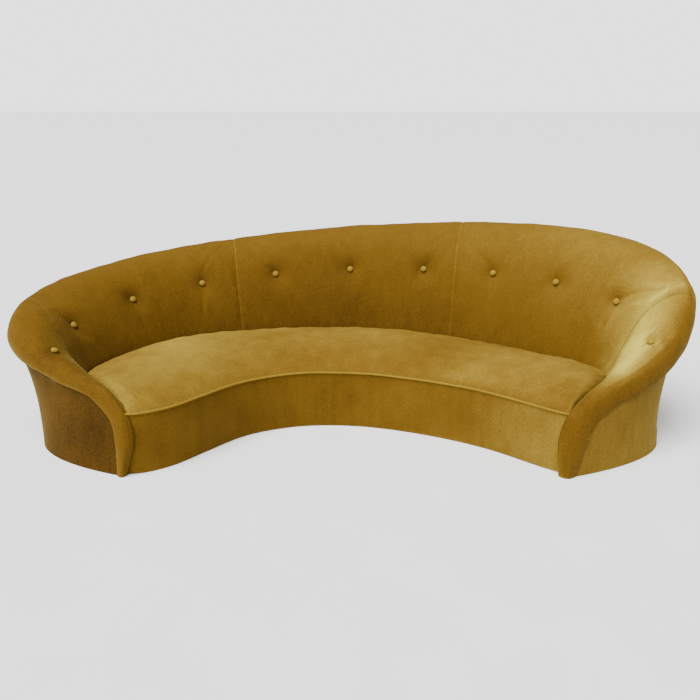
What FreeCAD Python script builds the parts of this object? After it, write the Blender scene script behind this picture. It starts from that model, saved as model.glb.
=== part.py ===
"""Curved three-metre sofa with a wrap-round back, as an assembly of its real pieces.

Millimetres, +Z up, the front facing -Y, the origin on the floor at the middle of
the footprint.  The wall of the sofa (arm, back, arm) is drawn like a boat's hull:
a row of stations runs from the left toe round the back to the right toe, and each
station holds the place of four guide lines, measured outwards from the base outline:

    crease  where the inside meets the seat
    rim     the highest line of the wall
    seam    under the roll, where the outside panel starts
    hem     the base outline at the floor
"""

import FreeCAD
import Part

import math
import os

from FreeCAD import Placement, Rotation, Vector

# Driving sizes: name, value and what it is
SIZES = [
    ("base_half_width", 1425, "base outline, half width"),
    ("base_back_reach", 900, "base outline, reach from its centre to the back"),
    ("base_front_reach", 556, "base outline, reach from its centre to the arm fronts"),
    ("outline_centre_x", 11, "base outline centre from the origin"),
    ("outline_centre_y", -320, "base outline centre from the origin"),
    ("front_line_y", -196, "foremost line of the hollow front at the middle"),
    ("arm_front_turn", 16, "how far the arm sections turn forwards, degrees"),
    ("roll_turn_height", 475, "rim height under which the roll turns to face forwards"),
    ("rim_nose", 24, "how far the roll stands forwards at the toes"),
    ("roll_fullness", 70, "outward push of the roll on the back"),
    ("toe_fullness", 10, "outward push of the roll at the toes"),
    ("full_roll_height", 600, "rim height from which the roll is full"),
    ("cove_depth", 60, "hollow of the outside panel under the roll"),
    ("cove_start_height", 300, "seam height at which the hollow starts"),
    ("cove_full_height", 550, "seam height from which the hollow is full"),
    ("hem_clearance", 3, "covers end this far above the floor"),
    ("piping_height", 276, "seat front edge above the floor"),
    ("piping_diameter", 9, "seat piping"),
    ("seat_crown", 62, "seat rises above the line from piping to crease"),
    ("seat_edge_drop", 6, "seat top starts this far above the piping line"),
    ("cover_thickness", 2, "velvet with its backing"),
    ("ease", 0.5, "clearance between soft layers and beside boards"),
    ("joint_ease", 0.3, "glue gap where a curved rail meets a rib"),
    ("pad_thickness", 60, "padding of the inside back"),
    ("pad_share", 0.18, "padding limit as a share of the roll's chord"),
    ("rim_padding", 26, "padding over the rim"),
    ("seam_padding", 4, "padding left at the under-roll seam"),
    ("apron_padding", 15, "padding on the front"),
    ("hessian_thickness", 1.5, "hessian behind the padding and on the front"),
    ("strap_thickness", 2, "jute strap thickness"),
    ("strap_width", 50, "jute strap width"),
    ("lining_thickness", 6, "felt under the outside covers"),
    ("glide_height", 12, "glides lift the frame off the floor"),
    ("glide_diameter", 44, "glides"),
    ("glide_inset", 62, "glide centres from the base outline"),
    ("dust_cover_thickness", 1, "dust cloth under the frame"),
    ("base_thickness", 24, "base ring plywood"),
    ("base_ring_width", 95, "base ring, outer edge to inner edge"),
    ("rail_thickness", 25, "front and rear rails"),
    ("rail_height", 60, "front, rear and cross rails"),
    ("spring_deck_height", 232, "top of the seat rails"),
    ("cross_rail_thickness", 28, "cross rails"),
    ("ledge_thickness", 20, "ledge that the inside pads stand on"),
    ("rib_thickness", 20, "back ribs"),
    ("top_rail_width", 40, "top rail, across"),
    ("top_rail_depth", 25, "top rail, down"),
    ("top_rail_share", 0.12, "arm rail width limit as a share of the roll's chord"),
    ("post_width", 45, "front posts"),
    ("arm_board_width", 44, "board behind each arm front, across"),
    ("arm_board_thickness", 22, "board behind each arm front, front to back"),
    ("arm_board_height", 165, "board behind each arm front"),
    ("arm_board_set_back", 34, "board behind each arm front, from the toe"),
    ("block_side", 30, "glue blocks beside the ribs"),
    ("block_height", 60, "glue blocks beside the ribs"),
    ("screw_diameter", 5, "screws up through the base ring"),
    ("screw_length", 62, "screws up through the base ring"),
    ("screw_head_diameter", 10, "screw heads"),
    ("screw_head_height", 3, "screw heads"),
    ("spring_wire", 3.6, "zigzag spring wire"),
    ("spring_width", 48, "zigzag spring, side to side"),
    ("spring_pitch", 30, "zigzag spring, one pass to the next"),
    ("clip_length", 26, "spring clips"),
    ("clip_width", 60, "spring clips"),
    ("clip_thickness", 1.2, "spring clips"),
    ("deck_cloth_thickness", 1.5, "hessian over the springs"),
    ("button_diameter", 30, "covered buttons"),
    ("button_height", 11, "covered buttons"),
    ("button_lift", 1.0, "base of a covered button in front of the hollow face"),
    ("tie_diameter", 2, "button twine"),
    ("tie_hole", 5, "hole for the button twine"),
    ("toggle_diameter", 22, "toggle that anchors the twine"),
    ("toggle_thickness", 3, "toggle that anchors the twine"),
    ("panel_seam", 25, "bearing of the seams beside the middle panel, degrees"),
    ("arm_seam", 92, "bearing of the seams between back and arm panels, degrees"),
]

COLUMNS = ["bearing", "wall", "crease_height", "rim_out", "rim_height", "seam_out", "seam_height"]

# Station by station from the left toe round the back to the right toe: bearing of the
# section on the base outline in degrees, then the guide lines' distances outwards from
# the base outline and their heights
STATIONS = [
    ("left_toe", -136.3, -40, 0, -20, 0, 0, 0),
    ("left_shin", -136.3, -82, 170, -44, 165, -8, 155),
    ("left_knee", -135, -84, 275, -52, 292, -20, 250),
    ("left_cuff", -129, -140, 300, -80, 368, -40, 322),
    ("left_hand", -117.5, -201, 306, -76, 420, -38, 352),
    ("left_elbow", -103, -222, 310, -8, 505, 6, 385),
    ("left_side", -86, -204, 310, 84, 604, 104, 440),
    ("left_turn", -72, -200, 310, 138, 645, 165, 480),
    ("left_quarter", -54, -176, 310, 155, 698, 200, 535),
    ("left_back", -34, -140, 310, 142, 754, 190, 590),
    ("centre", 0, -176, 310, 74, 840, 144, 660),
    ("right_back", 36, -290, 310, 55, 888, 130, 700),
    ("right_quarter", 58, -335, 310, 45, 884, 120, 680),
    ("right_turn", 76, -285, 310, 76, 834, 120, 600),
    ("right_side", 90, -245, 310, 74, 722, 62, 475),
    ("right_elbow", 104, -240, 310, 16, 550, 8, 385),
    ("right_hand", 117.5, -209, 306, -40, 430, -12, 325),
    ("right_cuff", 128, -160, 300, -64, 368, -12, 285),
    ("right_knee", 136, -90, 270, -24, 285, 30, 230),
    ("right_shin", 138.3, -82, 165, -24, 165, 40, 145),
    ("right_toe", 138.3, -68, 0, -30, 0, 2, 0),
]

# The hollow front in plan, from the left toe to the right toe: across, and back from
# the foremost line of the hollow
FRONT = [
    ("front_left_toe", -974, -514),
    ("front_left_cheek", -889, -510),
    ("front_left_bulge", -749, -425),
    ("front_left_flank", -629, -283),
    ("front_left_hollow", -519, -155),
    ("front_left_middle", -289, -25),
    ("front_apex", -49, 2),
    ("front_right_middle", 311, -88),
    ("front_right_flank", 631, -265),
    ("front_right_cheek", 896, -495),
    ("front_right_toe", 955, -535),
]

# Bearings, in degrees, of pieces that repeat round the wall
RIB_BEARINGS = [-98, -66, -44, -26, -8, 8, 26, 44, 66, 98]
CROSS_RAIL_BEARINGS = [-84, -40, 0, 40, 84]
SPRING_BEARINGS = [-96, -78, -62, -46, -28, -10, 10, 28, 46, 62, 78, 96]
GLIDE_BEARINGS = [-126, -94, -58, -20, 20, 58, 94, 126]
BUTTONS = [
    (-106, 0.80),
    (-77.5, 0.43),
    (-53.5, 0.43),
    (-34.4, 0.43),
    (-17, 0.43),
    (0, 0.43),
    (17, 0.43),
    (34.4, 0.43),
    (53.5, 0.43),
    (77.5, 0.43),
    (106, 0.80),
]
PANELS = ["left_arm", "left_back", "centre", "right_back", "right_arm"]
STRAP_RISES = [0.10, 0.25, 0.58]
STRAP_STEP = 0.08
STRAP_LIMIT = 90
HESSIAN_LIMIT = 96.5
LINING_LIMIT = 116
SEAT_END_BEARING = 130
BACK_RAIL_BEARING = 102
TOP_RAIL_JOINT = 94
RING_OPENING_LIMIT = 104
POST_COUNT = 7
FRONT_GLIDES = 4

# Detail of the drawn curves
FACE_POINTS = 7
ROLL_POINTS = 6
PANEL_POINTS = 6
SECTION_STEP = 8
PLAN_POINTS = 33
SEAT_POINTS = 9
SEAT_SECTIONS = 18
DOME_STEPS = 4
FULL_SEAT_DEPTH = 420
TIP_TURN = 4.0
TIP_CUT = 34.0
GLIDE_EDGE = 3
POST_SET_BACK = 1.5
RAIL_CORNER_SHARE = 0.35
RIB_SEAM_DROP = 12
HOLE_RUN_OUT = 20
CLIP_BEHIND = 6
KEY_LENGTH = 10

doc = FreeCAD.newDocument("curved_sofa")
sizes = doc.addObject("Spreadsheet::Sheet", "sizes")


def write_sheet():
    """Put every driving size in the sheet, one named cell each."""
    row = 1
    for name, value, note in SIZES:
        sizes.set(f"A{row}", note)
        sizes.set(f"B{row}", str(value))
        sizes.setAlias(f"B{row}", name)
        row += 1
    for name, *values in STATIONS:
        sizes.set(f"A{row}", name)
        for place, (column, value) in enumerate(zip(COLUMNS, values)):
            cell = f"{'BCDEFGH'[place]}{row}"
            sizes.set(cell, str(value))
            sizes.setAlias(cell, f"{name}_{column}")
        row += 1
    for name, across, back in FRONT:
        sizes.set(f"A{row}", name)
        sizes.set(f"B{row}", str(across))
        sizes.setAlias(f"B{row}", f"{name}_x")
        sizes.set(f"C{row}", str(back))
        sizes.setAlias(f"C{row}", f"{name}_y")
        row += 1
    doc.recompute()


def size(stack):
    """Value of a named size, or of a sum of them such as "glide_height + ease"."""
    total = 0.0
    sign = 1
    for word in stack.split():
        if word in "+-":
            sign = 1 if word == "+" else -1
        else:
            total += sign * float(sizes.get(word))
    return total


def bound(stack):
    """Expression that ties a property to a named size or a sum of them."""
    return " ".join(word if word in "+-" else f"sizes.{word}" for word in stack.split())


write_sheet()

# Levels above the floor
BASE_BOTTOM = "glide_height + ease + dust_cover_thickness + ease"
BASE_TOP = BASE_BOTTOM + " + base_thickness"
RAIL_BOTTOM = "spring_deck_height - rail_height"
CLOTH_BOTTOM = "spring_deck_height + spring_wire + ease + clip_thickness + ease"
SEAT_BOTTOM = CLOTH_BOTTOM + " + deck_cloth_thickness + ease"

# Layers inwards from the visible skin of the front and of the outside panels
APRON_PAD_FACE = "cover_thickness + ease"
APRON_LINING_FACE = APRON_PAD_FACE + " + apron_padding + ease"
FRONT_FRAME_FACE = APRON_LINING_FACE + " + hessian_thickness + ease"
LINING_FACE = "cover_thickness + ease"
OUTSIDE_FRAME_FACE = LINING_FACE + " + lining_thickness + ease"

# Layers behind the inside padding
HESSIAN_FACE = "ease"
STRAP_FACE = HESSIAN_FACE + " + hessian_thickness + ease"
FRAME_FACE = STRAP_FACE + " + strap_thickness + ease"


def smooth_value(keys, values, at):
    """Cubic curve through the values at the keys, read at one place."""
    at = min(max(at, keys[0]), keys[-1])
    last = len(keys) - 2
    index = 0
    while index < last and at > keys[index + 1]:
        index += 1
    gaps = [after - before for before, after in zip(keys, keys[1:])]
    slopes = [(after - before) / gap for before, after, gap in zip(values, values[1:], gaps)]

    def slope_at(knot):
        if knot == 0:
            return slopes[0]
        if knot == len(keys) - 1:
            return slopes[-1]
        before, after = gaps[knot - 1], gaps[knot]
        return (slopes[knot - 1] * after + slopes[knot] * before) / (before + after)

    gap = gaps[index]
    part = (at - keys[index]) / gap
    rest = 1 - part
    return (
        values[index] * (1 + 2 * part) * rest**2
        + slope_at(index) * gap * part * rest**2
        + values[index + 1] * part**2 * (3 - 2 * part)
        - slope_at(index + 1) * gap * part**2 * rest
    )


def share_of(value, full):
    """How much of the full value is reached, from 0 to 1."""
    return min(max(value / full, 0.0), 1.0)


def cubic(corners, part):
    """Point on a cubic curve with four control points."""
    rest = 1 - part
    first, second, third, fourth = corners
    return (
        first * rest**3
        + second * (3 * rest**2 * part)
        + third * (3 * rest * part**2)
        + fourth * part**3
    )


class Wall:
    """The sofa's wall: its stations, guide lines and sections."""

    def __init__(self):
        """Read the stations and space them along the rim."""
        self.table = {
            column: [size(f"{row[0]}_{column}") for row in STATIONS] for column in COLUMNS
        }
        self.keys = [0.0]
        rims = [self.rim_of_station(number) for number in range(len(STATIONS))]
        for before, after in zip(rims, rims[1:]):
            self.keys.append(self.keys[-1] + (after - before).Length ** 0.6)

    def rim_of_station(self, number):
        """Rim point straight from the table."""
        bearing = self.table["bearing"][number]
        out, height = self.table["rim_out"][number], self.table["rim_height"][number]
        return self.hem_point(bearing) + self.outward(bearing) * out + Vector(0, 0, height)

    def read(self, key, column):
        """One column of the table at a place between the stations."""
        return smooth_value(self.keys, self.table[column], key)

    def key_at(self, bearing):
        """Place along the stations where the section has this bearing."""
        low, high = self.keys[0], self.keys[-1]
        for _ in range(40):
            middle = (low + high) / 2
            if self.read(middle, "bearing") < bearing:
                low = middle
            else:
                high = middle
        return (low + high) / 2

    @staticmethod
    def hem_point(bearing):
        """Point of the base outline at a bearing."""
        turn = math.radians(bearing)
        reach = size("base_back_reach") if abs(bearing) < 90 else size("base_front_reach")
        across = size("outline_centre_x") + size("base_half_width") * math.sin(turn)
        return Vector(across, size("outline_centre_y") + reach * math.cos(turn), 0)

    @staticmethod
    def outward(bearing):
        """Level unit vector out of the wall at a bearing."""
        turn = math.radians(bearing)
        if abs(bearing) <= 90:
            across = size("base_back_reach") * math.sin(turn)
            back = size("base_half_width") * math.cos(turn)
        else:
            past = share_of(abs(bearing) - 90, 46.5)
            swing = math.radians(90 + size("arm_front_turn") * math.sin(math.pi * past))
            across = math.copysign(math.sin(swing), bearing)
            back = math.cos(swing)
        return Vector(across, back, 0).normalize()

    def anchors(self, key):
        """Guide points and directions of one section."""
        bearing = self.read(key, "bearing")
        out = self.outward(bearing)
        side = math.copysign(1.0, bearing)
        forward = Vector(side * out.y, -side * out.x, 0)
        rim_height = self.read(key, "rim_height")
        facing = 1 - share_of(rim_height, size("roll_turn_height")) ** 2
        lean = facing * math.pi / 2
        crown = Vector(0, 0, math.cos(lean)) + forward * math.sin(lean)
        nose = size("rim_nose") * facing**1.2
        hem = self.hem_point(bearing)
        seam_height = self.read(key, "seam_height")
        hem_height = size("hem_clearance")

        def place(outwards, height, forwards=0.0):
            raised = Vector(0, 0, max(height, hem_height))
            return hem + out * outwards + forward * forwards + raised

        fullness = share_of(rim_height, size("full_roll_height")) ** 1.5
        cove_span = size("cove_full_height") - size("cove_start_height")
        return {
            "crease": place(self.read(key, "wall"), self.read(key, "crease_height")),
            "rim": place(self.read(key, "rim_out"), rim_height, nose),
            "seam": place(self.read(key, "seam_out"), seam_height),
            "hem": place(0, 0),
            "out": out,
            "crown": crown,
            "bulge": size("toe_fullness") + (size("roll_fullness") - size("toe_fullness")) * fullness,
            "cove": size("cove_depth") * share_of(seam_height - size("cove_start_height"), cove_span),
        }

    def inside_curve(self, key):
        """Points of the visible skin from the crease over the rim to the seam."""
        at = self.anchors(key)
        crease, rim, seam, out = at["crease"], at["rim"], at["seam"], at["out"]
        rise = rim - crease
        outwards = out * rise.dot(out)
        upwards = rise - outwards
        face = [crease, crease + upwards * 0.5 + outwards * 0.22, rim - outwards * 0.55, rim]
        roll = [rim, rim + out * at["bulge"], seam + out * (1.15 * at["bulge"]), seam]
        points = [cubic(face, step / FACE_POINTS) for step in range(FACE_POINTS)]
        points += [cubic(roll, step / ROLL_POINTS) for step in range(ROLL_POINTS + 1)]
        return points, at

    def face_point(self, key, part):
        """Point of the visible inside face, and the direction into the wall there."""
        at = self.anchors(key)
        crease, rim, out = at["crease"], at["rim"], at["out"]
        rise = rim - crease
        outwards = out * rise.dot(out)
        face = [crease, crease + (rise - outwards) * 0.5 + outwards * 0.22, rim - outwards * 0.55, rim]
        point = cubic(face, part)
        along = (cubic(face, part + 0.01) - point).normalize()
        inwards = (out - along * out.dot(along)).normalize()
        return point, inwards

    def outside_curve(self, key):
        """Points of the visible skin from the seam down to the hem."""
        at = self.anchors(key)
        seam, hem, out = at["seam"], at["hem"], at["out"]
        down = hem - seam
        upper = seam + down * 0.18 - out * at["cove"]
        lower = seam + down * 0.6 - out * (0.85 * at["cove"])
        panel = [seam, upper, lower, hem]
        return [cubic(panel, step / PANEL_POINTS) for step in range(PANEL_POINTS + 1)], at

    @staticmethod
    def inset(points, at, depths, level_start):
        """Move a section's points into the wall by a depth each."""
        out, crown = at["out"], at["crown"]
        moved = []
        for number, (point, depth) in enumerate(zip(points, depths)):
            before = points[max(number - 1, 0)]
            after = points[min(number + 1, len(points) - 1)]
            along = after - before
            inwards = out * along.dot(crown) - crown * along.dot(out)
            if number == 0 and level_start:
                inwards = Vector(out)
            moved.append(point + inwards.normalize() * depth)
        return moved

    def padding_at(self, key):
        """Padding depth at each point from the crease to the seam."""
        at = self.anchors(key)
        chord = (at["seam"] - at["crease"]).Length
        full = min(size("pad_thickness"), size("pad_share") * chord)
        over_rim = min(size("rim_padding"), 0.5 * full)
        at_seam = min(size("seam_padding"), 0.5 * over_rim)
        depths = [full + (over_rim - full) * (step / FACE_POINTS) ** 2 for step in range(FACE_POINTS)]
        for step in range(ROLL_POINTS + 1):
            depths.append(over_rim + (at_seam - over_rim) * step / ROLL_POINTS)
        return depths

    def inside_layer(self, key, depth, behind_pad=False):
        """Inside curve moved in by a depth, from the skin or from the pad's back."""
        points, at = self.inside_curve(key)
        depths = [depth] * len(points)
        if behind_pad:
            depths = [depth + pad + size("cover_thickness + ease") for pad in self.padding_at(key)]
        return self.inset(points, at, depths, level_start=True)

    def outside_layer(self, key, depth):
        """Outside curve moved in by a depth."""
        points, at = self.outside_curve(key)
        upright = dict(at, crown=Vector(0, 0, 1))
        return self.inset(points, upright, [depth] * len(points), level_start=False)

    @staticmethod
    def keys_between(first, last):
        """Evenly spread section places from one key to another."""
        count = max(2, math.ceil((last - first) / SECTION_STEP))
        return [first + (last - first) * step / count for step in range(count + 1)]

    def frame_depth(self, key):
        """Depth of the frame behind the skin at the crease."""
        return size("cover_thickness + ease") + self.padding_at(key)[0] + size(FRAME_FACE)


wall = Wall()


class Front:
    """The hollow front in plan."""

    def __init__(self):
        """Read the front line from the sheet."""
        self.across = [size(f"{name}_x") for name, _, _ in FRONT]
        self.back = [size(f"{name}_y") for name, _, _ in FRONT]
        self.reach = min(-self.across[1], self.across[-2])

    def point(self, across, inset=0.0):
        """Point of the front line, moved back square to it."""
        step = 1.0
        here = smooth_value(self.across, self.back, across)
        ahead = smooth_value(self.across, self.back, across + step)
        behind = smooth_value(self.across, self.back, across - step)
        along = Vector(2 * step, ahead - behind, 0).normalize()
        square = Vector(-along.y, along.x, 0)
        return Vector(across, size("front_line_y") + here, 0) + square * inset

    def row(self, first, last, inset, count=PLAN_POINTS):
        """Evenly spaced points along the front line."""
        return [self.point(first + (last - first) * step / (count - 1), inset) for step in range(count)]

    def across_at(self, bearing):
        """Where the seat's radial line of a bearing meets the front."""
        part = math.sin(math.pi / 2 * share_of(abs(bearing), SEAT_END_BEARING))
        return part * (self.across[1] if bearing < 0 else self.across[-2])


front = Front()


def curve(points):
    """Straight edge through two points, or a smooth one through more."""
    if len(points) == 2:
        return Part.LineSegment(points[0], points[1])
    smooth = Part.BSplineCurve()
    smooth.interpolate(points)
    return smooth


def ring(sides):
    """Closed wire through rows of points, each starting where the last one ended."""
    edges = []
    for number, side in enumerate(sides):
        start_of_next = sides[(number + 1) % len(sides)][0]
        edges.append(curve(side).toShape())
        if (side[-1] - start_of_next).Length > 1e-6:
            edges.append(Part.LineSegment(side[-1], start_of_next).toShape())
    return Part.Wire(edges)


def strip_loft(rows):
    """Solid through sections, each given as its face row and its back row."""
    wires = [ring([face, back[::-1]]) for face, back in rows]
    solid = Part.makeLoft(wires, True, False)
    if solid.Volume < 0:
        solid.reverse()
    return solid


def feature(label, shape):
    """Sub-part with a free-form shape."""
    item = doc.addObject("Part::Feature", label)
    item.Label = label
    item.Shape = shape
    item.Placement = Placement()
    return item


def plane_of(body, role):
    """Origin plane of a body."""
    return next(item for item in body.Origin.OriginFeatures if item.Role == role)


def board(label, loops, thickness, plane="XY_Plane", placement=None, level=None):
    """Board cut to closed loops of edges and as thick as the named sizes."""
    body = doc.addObject("PartDesign::Body", label)
    body.Label = label
    sketch = body.newObject("Sketcher::SketchObject", f"{label}_outline")
    sketch.AttachmentSupport = [(plane_of(body, plane), "")]
    sketch.MapMode = "FlatFace"
    for loop in loops:
        for number, side in enumerate(loop):
            start_of_next = loop[(number + 1) % len(loop)][0]
            sketch.addGeometry(curve(side), False)
            if (side[-1] - start_of_next).Length > 1e-6:
                sketch.addGeometry(Part.LineSegment(side[-1], start_of_next), False)
    pad = body.newObject("PartDesign::Pad", f"{label}_thickness")
    pad.Profile = sketch
    pad.setExpression("Length", bound(thickness))
    if placement:
        body.Placement = placement
    if level:
        body.setExpression("Placement.Base.z", bound(level))
    return body


def turned(label, outline):
    """Body of revolution about Z from a half section of across and height points."""
    body = doc.addObject("PartDesign::Body", label)
    body.Label = label
    sketch = body.newObject("Sketcher::SketchObject", f"{label}_section")
    sketch.AttachmentSupport = [(plane_of(body, "XZ_Plane"), "")]
    sketch.MapMode = "FlatFace"
    for number, (across, height) in enumerate(outline):
        following = outline[(number + 1) % len(outline)]
        end = Vector(following[0], following[1], 0)
        sketch.addGeometry(Part.LineSegment(Vector(across, height, 0), end), False)
    spin = body.newObject("PartDesign::Revolution", f"{label}_turning")
    spin.Profile = sketch
    spin.ReferenceAxis = (sketch, ["V_Axis"])
    spin.Angle = 360
    return body


def copies(label, pattern, placements):
    """One node of equal pieces, each a separate solid."""
    shapes = []
    for placement in placements:
        shape = pattern.copy()
        shape.Placement = placement
        shapes.append(shape)
    return feature(label, Part.makeCompound(shapes))


def facing(out):
    """Turn that takes +X to a level direction."""
    return Rotation(Vector(0, 0, 1), math.degrees(math.atan2(out.y, out.x)))


def radial_line(bearing):
    """Front point and crease point that a spring or cross rail runs between."""
    start = front.point(front.across_at(bearing))
    end = wall.anchors(wall.key_at(bearing))["crease"]
    return start, Vector(end.x, end.y, 0)


def crease_row(inset, limit, from_frame=False, count=PLAN_POINTS):
    """Plan points beside the crease, moved into the wall or from the ribs' edge."""
    points = []
    for step in range(count):
        bearing = -limit + 2 * limit * step / (count - 1)
        key = wall.key_at(bearing)
        at = wall.anchors(key)
        depth = inset + (wall.frame_depth(key) if from_frame else 0.0)
        crease = at["crease"] + at["out"] * depth
        points.append(Vector(crease.x, crease.y, 0))
    return points


def hem_row(inset, first, last, count=PLAN_POINTS):
    """Plan points along the base outline, moved into the wall."""
    points = []
    for step in range(count):
        bearing = first + (last - first) * step / (count - 1)
        before, after = wall.hem_point(bearing - 0.5), wall.hem_point(bearing + 0.5)
        along = (after - before).normalize()
        square = Vector(along.y, -along.x, 0)
        points.append(wall.hem_point(bearing) + square * inset)
    return points


parts = []


def keep(item):
    """Put a finished sub-part on the list that is written out."""
    parts.append(item)
    return item


left_tip = size("left_toe_bearing")
right_tip = size("right_toe_bearing")
base_inset = size(OUTSIDE_FRAME_FACE)
front_inset = size(FRONT_FRAME_FACE)


def plan_outline(hem_inset, hollow_inset):
    """Closed plan outline of the base between the wall and the hollow front."""
    back = hem_row(hem_inset, left_tip + TIP_TURN, right_tip - TIP_TURN)
    hollow = front.row(front.across[0] + TIP_CUT, front.across[-1] - TIP_CUT, hollow_inset)
    return [back, hollow[::-1]]


# Base ring with its screw holes, dust cover and glides
opening_reach = front.reach - size("base_ring_width")
opening = [
    hem_row(base_inset + size("base_ring_width"), -RING_OPENING_LIMIT, RING_OPENING_LIMIT),
    front.row(-opening_reach, opening_reach, front_inset + size("base_ring_width"))[::-1],
]
ring_blank = board(
    "base_ring_blank",
    [plan_outline(base_inset, front_inset), opening],
    "base_thickness",
    level=BASE_BOTTOM,
)
keep(board(
    "dust_cover",
    [plan_outline(base_inset, front_inset)],
    "dust_cover_thickness",
    level="glide_height + ease",
))
glide_radius = size("glide_diameter") / 2
glide_height = size("glide_height")
glide = turned("glide_pattern", [
    (0, 0),
    (glide_radius - GLIDE_EDGE, 0),
    (glide_radius, GLIDE_EDGE),
    (glide_radius, glide_height),
    (0, glide_height),
])

# Rails that carry the springs, and the ledge that the inside pads stand on
rail_reach = front.reach - size("rail_thickness")
front_rail = keep(board(
    "front_rail",
    [[
        front.row(-rail_reach, rail_reach, front_inset),
        front.row(-rail_reach, rail_reach, front_inset + size("rail_thickness"))[::-1],
    ]],
    "rail_height",
    level=RAIL_BOTTOM,
))
rear_rail = keep(board(
    "rear_rail",
    [[
        crease_row(-size("joint_ease"), BACK_RAIL_BEARING, True),
        crease_row(-size("joint_ease + rail_thickness"), BACK_RAIL_BEARING, True)[::-1],
    ]],
    "rail_height",
    level=RAIL_BOTTOM,
))
keep(board(
    "back_ledge",
    [[
        crease_row(-size("joint_ease"), BACK_RAIL_BEARING, True),
        crease_row(size("cover_thickness"), BACK_RAIL_BEARING)[::-1],
    ]],
    "ledge_thickness",
    level="centre_crease_height - ease - ledge_thickness",
))


def placed_at(point, out, back_off=0.0, height=0.0):
    """Placement at a plan point with +X turned to a level direction."""
    spot = Vector(point.x, point.y, height) + out * back_off
    return Placement(spot, facing(out))


# Cross rails from the front rail to the rear rail
rails = doc.addObject("Part::Compound", "seat_rails")
rails.Links = [front_rail, rear_rail]
for number, bearing in enumerate(CROSS_RAIL_BEARINGS, 1):
    start, end = radial_line(bearing)
    along = (end - start).normalize()
    half_rail = size("rail_thickness") / 2
    reach_in = front_inset + half_rail
    blank = doc.addObject("Part::Box", f"cross_rail_{number}_blank")
    reach_out = wall.frame_depth(wall.key_at(bearing)) - half_rail
    blank.Length = (end - start).Length - reach_in + reach_out
    blank.setExpression("Width", "sizes.cross_rail_thickness")
    blank.setExpression("Height", "sizes.rail_height")
    side = Vector(-along.y, along.x, 0) * (-size("cross_rail_thickness") / 2)
    corner = start + along * reach_in + side
    blank.Placement = Placement(Vector(corner.x, corner.y, size(RAIL_BOTTOM)), facing(along))
    rail = doc.addObject("Part::Cut", f"cross_rail_{number}")
    rail.Label = f"cross_rail_{number}"
    rail.Base = blank
    rail.Tool = rails
    keep(rail)

# Posts under the front rail
post = doc.addObject("Part::Box", "front_post_pattern")
post.setExpression("Length", "sizes.rail_thickness")
post.setExpression("Width", "sizes.post_width")
post.setExpression("Height", f"{bound(RAIL_BOTTOM)} - ({bound(BASE_TOP)})")
doc.recompute()
post_spots = []
for step in range(POST_COUNT):
    across = (rail_reach - size("post_width")) * (2 * step / (POST_COUNT - 1) - 1)
    face = front.point(across, front_inset + POST_SET_BACK)
    square = (front.point(across, 1.0) - front.point(across)).normalize()
    corner = face - Vector(-square.y, square.x, 0) * (size("post_width") / 2)
    post_spots.append(Placement(Vector(corner.x, corner.y, size(BASE_TOP)), facing(square)))
keep(copies("front_posts", post.Shape, post_spots))


# Top rail over the ribs and the rails inside the arms
def rail_section(key):
    """Rectangle under the padding of the roll, as two rows of two points."""
    layer = wall.inside_layer(key, size(FRAME_FACE), behind_pad=True)
    at = wall.anchors(key)
    chord = (at["seam"] - at["crease"]).Length
    width = min(size("top_rail_width"), size("top_rail_share") * chord)
    depth = width * size("top_rail_depth") / size("top_rail_width")
    top = layer[FACE_POINTS] - at["crown"] * (width * RAIL_CORNER_SHARE)
    inner = top - at["out"] * (width / 2)
    outer = top + at["out"] * (width / 2)
    down = at["crown"] * -depth
    return [inner, outer], [inner + down, outer + down]


def top_rail(label, first, last):
    """Rail that follows the rim between two places."""
    sections = [rail_section(key) for key in wall.keys_between(first, last)]
    return keep(feature(label, strip_loft(sections)))


left_joint = wall.key_at(-TOP_RAIL_JOINT)
right_joint = wall.key_at(TOP_RAIL_JOINT)
left_knee = wall.keys[2]
right_knee = wall.keys[-3]
top_rails = [
    top_rail("left_arm_rail", left_knee, left_joint),
    top_rail("top_rail", left_joint, right_joint),
    top_rail("right_arm_rail", right_joint, right_knee),
]


# Back ribs, each cut to the wall's own section and notched for the top rail
def rib_outline(key):
    """Closed outline of a rib in its own plane: outwards from the crease, and up."""
    at = wall.anchors(key)
    base = Vector(at["crease"].x, at["crease"].y, 0)

    def flat(point):
        return Vector((point - base).dot(at["out"]), point.z, 0)

    inside = [flat(point) for point in wall.inside_layer(key, size(FRAME_FACE), behind_pad=True)]
    outside = [flat(point) for point in wall.outside_layer(key, base_inset)]
    foot = Vector(outside[-1].x, size(BASE_TOP), 0)
    seam = inside[-1]
    toe = Vector(inside[0].x, size(BASE_TOP), 0)
    lower = [point for point in outside if size(BASE_TOP) + 1 < point.y < seam.y - RIB_SEAM_DROP]
    return [inside, [seam] + lower + [foot], [foot, toe], [toe, inside[0]]]


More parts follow.
